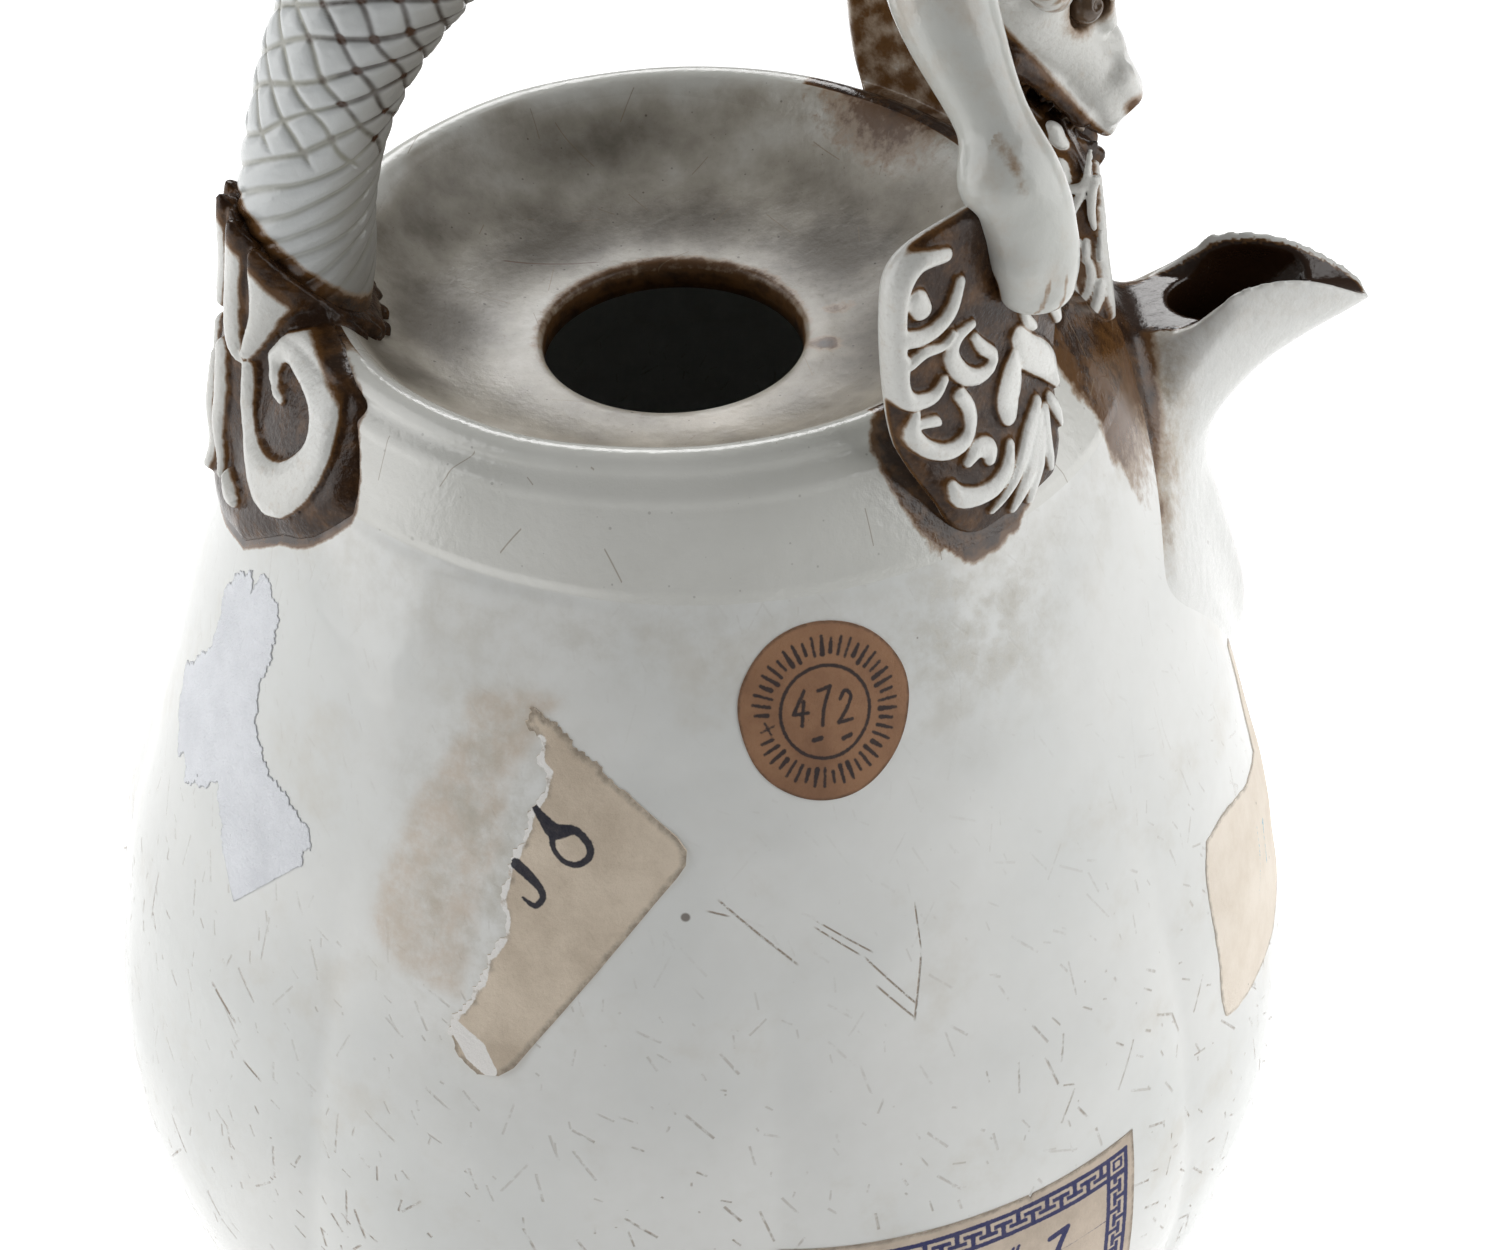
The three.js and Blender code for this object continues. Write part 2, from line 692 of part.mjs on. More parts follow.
function tongue() {
  return mainBody(sectionLoft(tongueShares, 0).subtract(headLoft(clearance)).subtract(jawLoft(clearance)));
}

// Labels

// A sheet of paper that lies on the body over a flat outline seen from straight in front
function paperSheet(outline, azimuth, height) {
  const raised = outline.map(([u, v]) => new THREE.Vector2(u, height + v));
  const sheet = bodyEnvelope(clearance + paperThickness).subtract(bodyEnvelope(clearance));
  return mainBody(sheet.intersect(standAt(prism(raised, 0, equatorRadius + overrun), azimuth)));
}

function scaledOutline(shares, width, length) {
  return shares.map(([u, v]) => [u * width, v * length]).reverse();
}

function roundLabel() {
  const outline = Array.from({ length: roundLabelPoints }, (_, i) => {
    const angle = (2 * Math.PI * i) / roundLabelPoints;
    return [roundLabelRadius * Math.cos(angle), roundLabelRadius * Math.sin(angle)];
  });
  return paperSheet(outline, roundLabelAzimuth, roundLabelHeight);
}

function tornLabel() {
  const outline = scaledOutline(tornLabelShares, tornLabelWidth, tornLabelLength);
  return paperSheet(outline, tornLabelAzimuth, tornLabelHeight);
}

function tapeRemnant() {
  return paperSheet(scaledOutline(tapeShares, tapeWidth, tapeLength), tapeAzimuth, tapeHeight);
}

function sideLabel() {
  const outline = scaledOutline(sideLabelShares, sideLabelWidth, sideLabelLength);
  return paperSheet(outline, sideLabelAzimuth, sideLabelHeight);
}

function borderedLabel() {
  const corners = scaledOutline(borderedLabelShares, borderedLabelWidth, borderedLabelLength);
  return paperSheet(corners, borderedLabelAzimuth, borderedLabelHeight);
}

// Assembly

// The body's axis stands beside the origin, because the spout reaches past the body on one side
const bodyAxisX = (equatorRadius - Math.max(equatorRadius, spoutReach)) / 2;

const ewer = new THREE.Group();
ewer.name = "porcelain_ewer";
ewer.position.x = bodyAxisX;

function place(name, solid, color, roughness) {
  const { vertProperties, triVerts, numProp } = solid.getMesh();
  const points = new Float32Array((vertProperties.length / numProp) * 3);
  for (let i = 0; i < points.length / 3; i++) {
    points.set(vertProperties.subarray(i * numProp, i * numProp + 3), i * 3);
  }
  const geometry = new THREE.BufferGeometry();
  geometry.setAttribute("position", new THREE.BufferAttribute(points, 3));
  geometry.setIndex(new THREE.BufferAttribute(new Uint32Array(triVerts), 1));
  geometry.computeVertexNormals();
  const mesh = new THREE.Mesh(geometry, new THREE.MeshStandardMaterial({ color, roughness, metalness: 0 }));
  mesh.name = name;
  ewer.add(mesh);
}

const glazed = (name, solid) => place(name, solid, colours.glaze, glazeRoughness);
const washed = (name, solid) => place(name, solid, colours.brownGlaze, glazeRoughness);
const paper = (name, solid, color) => place(name, solid, color, paperRoughness);

glazed("foot_ring", footRing());
glazed("lower_body", lowerBody());
glazed("upper_body", upperBody());
glazed("mouth_dish", mouthDish());
glazed("spout", spout());
glazed("handle_body", handleBody());
washed("tail_plaque", tailPlaque());
glazed("near_foreleg", foreleg(nearLegAzimuth));
glazed("far_foreleg", foreleg(farLegAzimuth));
washed("near_leg_plaque", legPlaque(nearPlaqueAzimuth, nearLegAzimuth));
washed("far_leg_plaque", legPlaque(farPlaqueAzimuth, farLegAzimuth));
washed("beard_plaque", beardPlaque());
glazed("dragon_head", dragonHead());
glazed("lower_jaw", lowerJaw());
washed("tongue", tongue());
for (const [sideName, side] of [["near", -1], ["far", 1]]) {
  glazed(sideName + "_horn", headTrim(hornShares, hornTaperShares, hornRadius, side));
  glazed(sideName + "_ear", headTrim(earShares, earTaperShares, earRadius, side));
  washed(sideName + "_eye", eyeBall(side, 0));
}
paper("round_label", roundLabel(), colours.card);
paper("torn_label", tornLabel(), colours.cream);
paper("tape_remnant", tapeRemnant(), colours.tape);
paper("side_label", sideLabel(), colours.cream);
paper("bordered_label", borderedLabel(), colours.cream);

export default ewer;
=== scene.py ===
"""Looks of a porcelain ewer: lobed body, dished mouth, beak spout, dragon handle, relief plaques, labels.

Lengths are millimetres from the body's axis until a mesh is built, which shifts and scales them."""

import math

import bpy
import numpy as np
import openvdb
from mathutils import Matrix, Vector
from mathutils.geometry import delaunay_2d_cdt


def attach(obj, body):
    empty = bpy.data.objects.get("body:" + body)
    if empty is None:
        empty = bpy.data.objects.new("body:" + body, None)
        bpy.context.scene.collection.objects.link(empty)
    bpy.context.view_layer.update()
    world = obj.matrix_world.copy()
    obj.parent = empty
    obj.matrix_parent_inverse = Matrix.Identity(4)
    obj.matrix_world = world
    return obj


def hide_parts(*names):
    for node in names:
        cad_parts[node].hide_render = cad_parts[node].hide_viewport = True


MM = 0.001
AXIS = -2.14

FOOT_RADIUS, FOOT_HEIGHT = 31.0, 5.0
EQUATOR_RADIUS, EQUATOR_HEIGHT = 62.7, 58.0
COLLAR_RADIUS, COLLAR_HEIGHT = 41.0, 132.3
RIM_RADIUS, RIM_HEIGHT = 33.8, 142.1
HOLE_RADIUS, DISH_DEPTH = 12.5, 9.9
WALL = 4.0
MOUTH_SHIFT, MOUTH_TILT = -1.9, math.radians(1.9)
GROOVE_HEIGHT, CAVITY_FLOOR = 131.3, 11.0
# Radii at which azimuths on the wall, the near leg's stain and the tail plaque are rolled out flat
WALL_REACH, STAIN_REACH, TAIL_REACH = 55.0, 38.0, 42.0
SPOT_REACH = 50.0
NEAR_LEG, FAR_LEG, FAR_PLAQUE = math.radians(-53), math.radians(39), math.radians(39.5)


def lerp(a, b, t):
    return a + (b - a) * t


def smooth(x, low, high):
    t = np.clip((np.asarray(x, float) - low) / (high - low), 0, 1)
    return t * t * (3 - 2 * t)


def spline(knots, shares):
    """Points of a uniform Catmull-Rom curve at shares of its knots."""
    p = np.asarray(knots, float)
    n = len(p)
    x = (n - 1) * np.clip(np.asarray(shares, float), 0, 1)
    i = np.minimum(np.floor(x).astype(int), n - 2)
    w = (x - i)[..., None]
    a, b = p[np.maximum(i - 1, 0)], p[i]
    c, d = p[i + 1], p[np.minimum(i + 2, n - 1)]
    v, u = (c - a) / 2, (d - b) / 2
    return (2 * b - 2 * c + v + u) * w**3 + (-3 * b + 3 * c - 2 * v - u) * w**2 + v * w + b


def path(knots, count, closed=False):
    """Evenly spaced points along a curve through the knots."""
    p = np.asarray(knots, float)
    if closed:
        p = np.vstack([p[-2:], p, p[:3]])
        dense = spline(p, np.linspace(2 / (len(p) - 1), (len(p) - 3) / (len(p) - 1), 40 * len(p)))
    else:
        dense = spline(p, np.linspace(0, 1, 40 * len(p)))
    steps = np.concatenate([[0], np.cumsum(np.linalg.norm(np.diff(dense[:, :3], axis=0), axis=1))])
    at = np.linspace(0, steps[-1], count)
    return np.stack([np.interp(at, steps, dense[:, k]) for k in range(p.shape[1])], 1)


# Body outline

LOWER_WALL = [[0, 0], [0.2, 0.06], [0.42, 0.16], [0.64, 0.31], [0.83, 0.48], [0.95, 0.68]]
UPPER_WALL = [[0, 0], [0.12, 0.24], [0.36, 0.48], [0.58, 0.67], [0.77, 0.83], [1, 1]]
COLLAR = [[0, 0], [0.25, 0.33], [0.53, 0.64], [0.75, 0.86], [0.92, 0.98]]
wall_knots = [
    [lerp(FOOT_RADIUS, EQUATOR_RADIUS, u), lerp(FOOT_HEIGHT, EQUATOR_HEIGHT, v)] for u, v in LOWER_WALL
] + [[lerp(EQUATOR_RADIUS, COLLAR_RADIUS, u), lerp(EQUATOR_HEIGHT, COLLAR_HEIGHT, v)] for u, v in UPPER_WALL]
wall_line = spline(wall_knots, np.linspace(0, 1, 600))
collar_knots = [[lerp(COLLAR_RADIUS, RIM_RADIUS, u), lerp(COLLAR_HEIGHT, RIM_HEIGHT, v)] for u, v in COLLAR]
rim_knots = collar_knots + [[RIM_RADIUS, RIM_HEIGHT]]
outer_line = np.vstack([wall_line, spline(rim_knots, np.linspace(0, 1, 120))[1:]])


def outer_radius(z):
    """Radius of body and mouth before the mouth's tilt."""
    return np.interp(z, outer_line[:, 1], outer_line[:, 0])


def lobes(azimuth, z):
    rise = smooth(z, FOOT_HEIGHT, 24) * (1 - smooth(z, 76, 112))
    groove = (1 - np.abs(np.sin(4 * azimuth))) ** 2
    return 1 - 0.9 / EQUATOR_RADIUS * rise * groove


def uneven(azimuth, z):
    """The thrown wall's slight waves, in millimetres."""
    fade = smooth(z, 8, 30) * (1 - smooth(z, 112, 130))
    waves = np.sin(3 * azimuth + 0.07 * z) * 0.13 + np.sin(5 * azimuth - 0.11 * z + 1.3) * 0.09
    rings = np.sin(z * 0.42 + np.sin(azimuth) * 0.6) * 0.045 + np.sin(z * 0.23 + 2) * 0.05
    return fade * (waves + rings)


def body_radius(azimuth, z):
    return outer_radius(z) * lobes(azimuth, z) + uneven(azimuth, z)


def groove_depth(azimuth, z):
    """The joint's groove under the collar, deep only towards the tail on the near side."""
    turn = (np.degrees(azimuth) + 126 + 180) % 360 - 180
    depth = 0.03 + 0.32 * np.exp(-((turn / 17) ** 4))
    return depth * np.exp(-(((z - GROOVE_HEIGHT) / 0.6) ** 2))


def tilt_mouth(points):
    """Shifts and tilts the mouth, by nothing at the collar's foot and fully at the rim."""
    p = np.array(points, float)
    radius = np.hypot(p[:, 0], p[:, 1])
    share = np.clip((p[:, 2] - COLLAR_HEIGHT) / (RIM_HEIGHT - COLLAR_HEIGHT), 0, 1)
    share = np.where(radius < RIM_RADIUS, 1, share)
    p[:, 2] += share * p[:, 0] * math.tan(MOUTH_TILT)
    p[:, 0] += share * MOUTH_SHIFT
    return p


# Meshes


def build(name, points, faces, material, stands_for=(), marks=None):
    """A piece from points in millimetres and arrays of faces, with point marks for its material."""
    world = (np.asarray(points, float) + (AXIS, 0, 0)) * MM
    sizes = np.concatenate([np.full(len(f), f.shape[1]) for f in faces])
    corners = np.concatenate([f.ravel() for f in faces])
    mesh = bpy.data.meshes.new(name)
    mesh.vertices.add(len(world))
    mesh.vertices.foreach_set("co", world.astype(np.float32).ravel())
    mesh.loops.add(len(corners))
    mesh.loops.foreach_set("vertex_index", corners.astype(np.int32))
    mesh.polygons.add(len(sizes))
    mesh.polygons.foreach_set("loop_start", (np.cumsum(sizes) - sizes).astype(np.int32))
    mesh.update(calc_edges=True)
    mesh.validate()
    mesh.shade_smooth()
    for key, values in (marks or {}).items():
        mark = mesh.attributes.new(key, "FLOAT", "POINT")
        mark.data.foreach_set("value", np.asarray(values, np.float32))
    mesh.materials.append(material)
    piece = bpy.data.objects.new(name, mesh)
    bpy.context.scene.collection.objects.link(piece)
    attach(piece, "root")
    if stands_for:
        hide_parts(*stands_for)
    return piece


def grid_faces(rows, columns, close_rows=False):
    """Faces between rows of points that each run once round."""
    last = rows if close_rows else rows - 1
    i, j = np.meshgrid(np.arange(last), np.arange(columns), indexing="ij")
    k, m = (j + 1) % columns, (i + 1) % rows
    return np.stack([i * columns + j, i * columns + k, m * columns + k, m * columns + j], -1).reshape(-1, 4)


def cap_faces(row, hub, flip=False):
    """Triangles from a row of point numbers to a hub."""
    ahead = np.roll(row, -1)
    order = [ahead, row] if flip else [row, ahead]
    return np.stack([*order, np.full(len(row), hub)], -1)


def turned(profile, segments):
    """Radius, azimuth and height of a profile turned round the axis, in rows of one height."""
    r, z = np.asarray(profile, float).T[..., None]
    a = np.linspace(0, 2 * np.pi, segments, endpoint=False) + 0 * r
    return r + 0 * a, a, z + 0 * a


def polar(r, azimuth, z):
    return np.stack([r * np.cos(azimuth), r * np.sin(azimuth), z], -1).reshape(-1, 3)


class Clay:
    """A block of distances from a surface, negative inside, that forms are added to and cut from."""

    def __init__(self, low, high, step):
        self.low, self.step = np.asarray(low, float), step
        self.size = np.ceil((np.asarray(high, float) - self.low) / step).astype(int) + 1
        self.far = 8 * step
        self.value = np.full(self.size, 50.0, np.float32)

    def axes(self, window=None):
        window = window or [(0, n) for n in self.size]
        spans = [self.low[k] + self.step * np.arange(*window[k], dtype=float) for k in range(3)]
        return np.meshgrid(*spans, indexing="ij", sparse=True)

    def window(self, low, high):
        a = np.clip(np.floor((np.asarray(low) - self.low) / self.step).astype(int), 0, self.size)
        b = np.clip(np.ceil((np.asarray(high) - self.low) / self.step).astype(int) + 1, 0, self.size)
        return list(zip(a, b))

    def join(self, distance, window, blend, cut):
        cells = tuple(slice(low, high) for low, high in window)
        sign = -1 if cut else 1
        self.value[cells] = sign * soft_min(sign * self.value[cells], distance, blend)

    def limb(self, knots, blend=0.0, cut=False):
        """Adds or cuts a chain of round bars through knots of x, y, z and radius."""
        p = np.asarray(knots, float)
        margin = p[:, 3].max() + blend + 5 * self.step
        for a, b in zip(p[:-1], p[1:]):
            window = self.window(np.minimum(a, b)[:3] - margin, np.maximum(a, b)[:3] + margin)
            if all(low < high for low, high in window):
                self.join(bar_distance(self.axes(window), a, b), window, blend, cut)

    def ball(self, centre, radii, blend=0.0, cut=False):
        """Adds or cuts an ellipsoid."""
        c, r = np.asarray(centre, float), np.asarray(radii, float)
        margin = r + blend + 5 * self.step
        window = self.window(c - margin, c + margin)
        offset = [(w - c[k]) / r[k] for k, w in enumerate(self.axes(window))]
        near = np.sqrt(sum(v**2 for v in offset))
        slope = np.sqrt(sum((v / r[k]) ** 2 for k, v in enumerate(offset)))
        self.join(near * (near - 1) / np.maximum(slope, 1e-6), window, blend, cut)

    def surface(self):
        """Points and quads of the surface."""
        grid = openvdb.FloatGrid(self.far)
        grid.copyFromArray(np.clip(self.value, -self.far, self.far).astype(np.float32))
        points, quads = grid.convertToQuads(0.0)
        return points.astype(float) * self.step + self.low, quads.astype(np.int64)


def soft_min(a, b, blend):
    if blend <= 0:
        return np.minimum(a, b)
    h = np.maximum(blend - np.abs(a - b), 0) / blend
    return np.minimum(a, b) - h * h * blend / 4


def soft_max(a, b, blend):
    return -soft_min(-a, -b, blend)


def bar_distance(at, a, b):
    """Distance from a round bar between two knots of x, y, z and radius."""
    offset, along = [at[k] - a[k] for k in range(3)], [b[k] - a[k] for k in range(3)]
    length = sum(v * v for v in along) or 1e-9
    share = np.clip(sum(o * v for o, v in zip(offset, along)) / length, 0, 1)
    gap = sum((o - share * v) ** 2 for o, v in zip(offset, along))
    return np.sqrt(gap) - lerp(a[3], b[3], share)


def stroke_distance(u, v, rows):
    """Distance of flat points from a stroke's edge, through rows of u, v and half-width."""
    best = np.full(np.broadcast(u, v).shape, 99.0)
    rows = np.asarray(rows, float)
    if len(rows) == 1:
        rows = np.vstack([rows, rows + (1e-3, 0, 0)])
    for a, b in zip(rows[:-1], rows[1:]):
        du, dv = b[0] - a[0], b[1] - a[1]
        share = np.clip(((u - a[0]) * du + (v - a[1]) * dv) / (du * du + dv * dv + 1e-9), 0, 1)
        gap = np.hypot(u - a[0] - share * du, v - a[1] - share * dv) - lerp(a[2], b[2], share)
        best = np.minimum(best, gap)
    return best


def curved_stroke(rows, count=22):
    return path(rows, count) if len(rows) > 2 else np.asarray(rows, float)


def ridge_shape(gap, width):
    """Height share of a round ridge from the distance to its edge and its mean half-width."""
    return np.sqrt(np.clip(1 - (np.clip(gap + width, 0, None) / (width * 1.15)) ** 2, 0, 1))


def outline_distance(u, v, corners):
    """Signed distance from a closed outline, negative inside."""
    p = np.asarray(corners, float)
    q = np.roll(p, -1, axis=0)
    best = np.full(np.broadcast(u, v).shape, 99.0)
    inside = np.zeros(np.broadcast(u, v).shape, bool)
    for (a, b), (c, d) in zip(p, q):
        share = np.clip(((u - a) * (c - a) + (v - b) * (d - b)) / ((c - a) ** 2 + (d - b) ** 2 + 1e-9), 0, 1)
        best = np.minimum(best, np.hypot(u - a - share * (c - a), v - b - share * (d - b)))
        if b != d:
            cross = (b > v) != (d > v)
            inside ^= cross & (u < (c - a) * (v - b) / (d - b) + a)
    return np.where(inside, -best, best)


def ripple(p, scale, seed=0.0):
    """A smooth made-up unevenness between about -1 and 1."""
    x, y, z = (p[:, k] / scale for k in range(3))
    total = np.sin(x * 1.7 + y * 2.3 + seed) + np.sin(y * 2.9 - z * 1.9 + 2 * seed)
    total += np.sin(z * 2.7 + x * 3.1 + 3 * seed) + np.sin((x + y + z) * 4.1 + seed) / 2
    return total / 3.5


# Materials


class Value:
    """A socket of a node graph that sums and products can be written with."""

    def __init__(self, paint, socket):
        self.paint, self.socket = paint, socket

    def __add__(self, other):
        return self.paint.reckon("ADD", self, other)

    def __sub__(self, other):
        return self.paint.reckon("SUBTRACT", self, other)

    def __mul__(self, other):
        return self.paint.reckon("MULTIPLY", self, other)

    def __abs__(self):
        return self.paint.reckon("ABSOLUTE", self)


class Paint:
    """A material's node graph and the colour laid so far. Places and sizes in it are millimetres."""

    def __init__(self, name, light=None, cool=None):
        self.material = bpy.data.materials.new(name)
        self.material.use_nodes = True
        self.tree = self.material.node_tree
        self.tree.nodes.clear()
        out = self.tree.nodes.new("ShaderNodeOutputMaterial")
        self.shader = self.tree.nodes.new("ShaderNodeBsdfPrincipled")
        self.tree.links.new(self.shader.outputs[0], out.inputs[0])
        self.place = self.vector("SCALE", self.node("ShaderNodeTexCoord", {}, "Object"), scale=1 / MM)
        if light:
            cloud = self.ramp(self.noise(0.035, 3.0, 0.5, 3), 0.3, 0.7)
            self.colour = self.mix(cloud, light, cool)
            self.lay(self.noise(0.6, 2.0, 0.5, 5) * 0.18, GLAZE_GREY)

    def node(self, kind, inputs, out=0, **settings):
        node = self.tree.nodes.new(kind)
        for key, value in settings.items():
            setattr(node, key, value)
        for key, value in inputs.items():
            self.feed(node.inputs[key], value)
        return Value(self, node.outputs[out])

    def feed(self, socket, value):
        if isinstance(value, Value):
            self.tree.links.new(value.socket, socket)
        else:
            socket.default_value = value

    def reckon(self, operation, a, b=0.0):
        return self.node("ShaderNodeMath", {0: a, 1: b}, operation=operation)

    def most(self, a, b):
        return self.reckon("MAXIMUM", a, b)

    def vector(self, operation, a, b=(0, 0, 0), scale=1.0):
        second = {"Scale": scale} if operation == "SCALE" else {1: b}
        return self.node("ShaderNodeVectorMath", {0: a, **second}, operation=operation)

    def part(self, place, k):
        return self.node("ShaderNodeSeparateXYZ", {0: place}, k)

    def mix(self, share, a, b):
        a, b = [(*c, 1) if isinstance(c, tuple) else c for c in (a, b)]
        return self.node("ShaderNodeMix", {0: share, 6: a, 7: b}, 2, data_type="RGBA")

    def lay(self, share, tone):
        """Lays a tone over the colour so far."""
        self.colour = self.mix(share, self.colour, tone)

    def blend(self, share, a, b):
        return self.node("ShaderNodeMix", {0: share, 2: a, 3: b}, data_type="FLOAT")

    def ramp(self, value, low, high):
        return self.node("ShaderNodeMapRange", {0: value, 1: low, 2: high}, interpolation_type="SMOOTHSTEP")

    def noise(self, scale, detail=3.0, roughness=0.55, seed=0.0):
        place = self.vector("ADD", self.place, (seed, 1.7 * seed, -seed))
        inputs = {"Vector": place, "Scale": scale, "Detail": detail, "Roughness": roughness}
        return self.node("ShaderNodeTexNoise", inputs)

    def patches(self, low, high, *noise):
        """Noise with soft limits, so that it makes patches."""
        return self.ramp(self.noise(*noise), low, high)

    def mark(self, name):
        return self.node("ShaderNodeAttribute", {}, 2, attribute_name=name, attribute_type="GEOMETRY")

    def cells(self, place, spacing, dimensions):
        """Voronoi cells and three chances of each."""
        cells = self.tree.nodes.new("ShaderNodeTexVoronoi")
        cells.voronoi_dimensions = dimensions
        self.feed(cells.inputs["Vector"], place)
        cells.inputs["Scale"].default_value = 1 / spacing
        colour = Value(self, cells.outputs["Color"])
        return cells, [self.node("ShaderNodeSeparateColor", {0: colour}, k) for k in range(3)]

    def specks(self, spacing, radius, share, seed=0.0):
        """Small round spots in some of the cells."""
        place = self.vector("ADD", self.place, (seed, seed, seed))
        cells, (chance, size, _) = self.cells(place, spacing, "3D")
        gap = Value(self, cells.outputs["Distance"]) - size * (radius / spacing)
        spot = self.ramp(gap, 0.06 * radius / spacing, -0.3 * radius / spacing)
        return spot * self.reckon("LESS_THAN", chance, share)

    def from_line(self, offset, angle):
        """Distances along and across a line through a point, at an angle."""
        inputs = {"Vector": offset, "Angle": angle}
        spun = self.node("ShaderNodeVectorRotate", inputs, rotation_type="Z_AXIS")
        return abs(self.part(spun, 0)), abs(self.part(spun, 1))

    def scratches(self, place, spacing, length, width, share, seed, angles=(0, math.pi)):
        """Short straight lines, one in some cells, each at its own angle, over a flat place."""
        place = self.vector("ADD", place, (seed, 2 * seed, 0))
        cells, (chance, turn, size) = self.cells(place, spacing, "2D")
        offset = self.vector("SUBTRACT", place, Value(self, cells.outputs["Position"]))
        x, y = self.from_line(offset, turn * (angles[1] - angles[0]) + angles[0])
        line = self.reckon("LESS_THAN", x, size * length) * self.ramp(y, width, 0.3 * width)
        return line * self.reckon("LESS_THAN", chance, share)

    def drawn_line(self, place, a, b, width):
        """A straight scratch between two flat places."""
        (ax, ay), (bx, by) = a, b
        half = math.hypot(bx - ax, by - ay) / 2
        offset = self.vector("SUBTRACT", place, ((ax + bx) / 2, (ay + by) / 2, 0))
        x, y = self.from_line(offset, -math.atan2(by - ay, bx - ax))
        return self.ramp(x, half, half - 0.8) * self.ramp(y, width, 0.25 * width)

    def wash(self, rough_edge=0.5, scale=0.9):
        """Lays iron-brown where the wash mark is high, with a ragged edge, and returns where it is full."""
        level = self.mark("wash") + (self.noise(scale, 4.0, 0.65) - 0.5) * rough_edge
        full = self.ramp(level, 0.38, 0.62)
        deep = self.ramp(level + self.noise(0.35, 3.0, 0.6, 9), 1.15, 1.6)
        tone = self.mix(full, WASH_PALE, self.mix(deep, WASH_MID, WASH_DARK))
        self.lay(self.ramp(level, 0.18, 0.45), tone)
        return full

    def finish(self, roughness, bump=None, depth=0.0):
        self.feed(self.shader.inputs["Base Color"], self.colour)
        self.feed(self.shader.inputs["Roughness"], roughness)
        if bump:
            normal = self.node("ShaderNodeBump", {"Strength": 1.0, "Distance": depth * MM, "Height": bump})
            self.feed(self.shader.inputs["Normal"], normal)
        return self.material


GLAZE_GREY = (0.55, 0.53, 0.48)
WASH_DARK, WASH_MID, WASH_PALE = (0.028, 0.013, 0.006), (0.115, 0.054, 0.018), (0.33, 0.25, 0.18)

# Scratches on the wall that have their own places: two ends of azimuth in degrees and height, and a width
WALL_SCRATCHES = [
    ((-95.3, 105.7), (-87.3, 98.7), 0.16), ((-85.8, 103), (-79.8, 98.7), 0.13),
    ((-85.8, 102.3), (-81.1, 98.7), 0.13), ((-81, 98.7), (-75.9, 92.6), 0.15),
    ((-75.1, 102.6), (-75, 97.8), 0.13), ((-75, 97.8), (-76.5, 91.1), 0.17),
    ((-80.1, 95.8), (-76.2, 91.3), 0.15), ((-150.8, 80.6), (-146, 78.6), 0.25),
    ((-144.8, 75.4), (-141.8, 74.4), 0.2), ((-96.5, 104.6), (-93.8, 103.9), 0.14),
]
DISH_HAIRLINE = (-19.5, 14.2), (-9.5, 13.6), 0.13


def on_wall(degrees, height):
    """An azimuth and a height as a flat place on the wall."""
    return math.radians(degrees) * WALL_REACH, height


def body_paint():
    paint = Paint("body_glaze_looks", (0.76, 0.765, 0.745), (0.66, 0.675, 0.66))
    x, y, z = (paint.part(paint.place, k) for k in range(3))
    turn = paint.reckon("ARCTAN2", y, x - AXIS) * WALL_REACH
    flat = paint.node("ShaderNodeCombineXYZ", {0: turn, 1: z})
    hair = paint.scratches(flat, 5.2, 2.0, 0.19, 0.8, 11, (0.35, 1.5))
    hair = paint.most(hair, paint.scratches(flat, 7.6, 2.6, 0.16, 0.7, 37, (0.9, 2.4)))
    hair = paint.most(hair, paint.scratches(flat, 2.9, 0.9, 0.14, 0.5, 71, (0.2, 1.9)))
    hair = hair * paint.patches(0.35, 0.6, 1.1, 3.0, 0.7, 25)
    hair = hair * (paint.ramp(z, 105.0, 70.0) * 0.8 + 0.12)
    hair = hair * (paint.patches(0.3, 0.62, 0.05, 2.0, 0.5, 26) * 0.75 + 0.25)
    drawn = 0.0
    for a, b, width in WALL_SCRATCHES:
        drawn = paint.most(drawn, paint.drawn_line(flat, on_wall(*a), on_wall(*b), width))
    drawn = paint.most(drawn * paint.patches(0.36, 0.52, 1.3, 4.0, 0.75, 28), hair)
    paint.lay(drawn * 0.85, (0.22, 0.155, 0.1))
    paint.lay(paint.patches(0.52, 0.75, 0.09, 5.0, 0.65, 33) * 0.3, (0.52, 0.47, 0.38))
    spots = paint.most(paint.specks(7.0, 0.34, 0.35, 2), paint.specks(17.0, 0.6, 0.4, 31))
    paint.lay(spots * 0.8, (0.09, 0.06, 0.04))
    residue = paint.mark("tan") * (paint.patches(0.25, 0.7, 0.35, 5.0, 0.75, 14) * 0.6 + 0.15)
    paint.lay(residue, (0.55, 0.45, 0.35))
    # Soil, with a band of painted shade under the collar
    soil_and_shade = paint.mark("soil_and_shade") * paint.patches(0.35, 0.75, 0.25, 5.0, 0.7, 7)
    paint.lay(soil_and_shade, (0.43, 0.4, 0.33))
    paint.wash()
    roughness = paint.most(drawn * 0.4, soil_and_shade * 0.35) + paint.noise(0.8, 3.0, 0.6, 4) * 0.08 + 0.1
    return paint.finish(roughness, paint.noise(0.12, 3.0, 0.5, 6) - drawn * 0.35, 0.16)


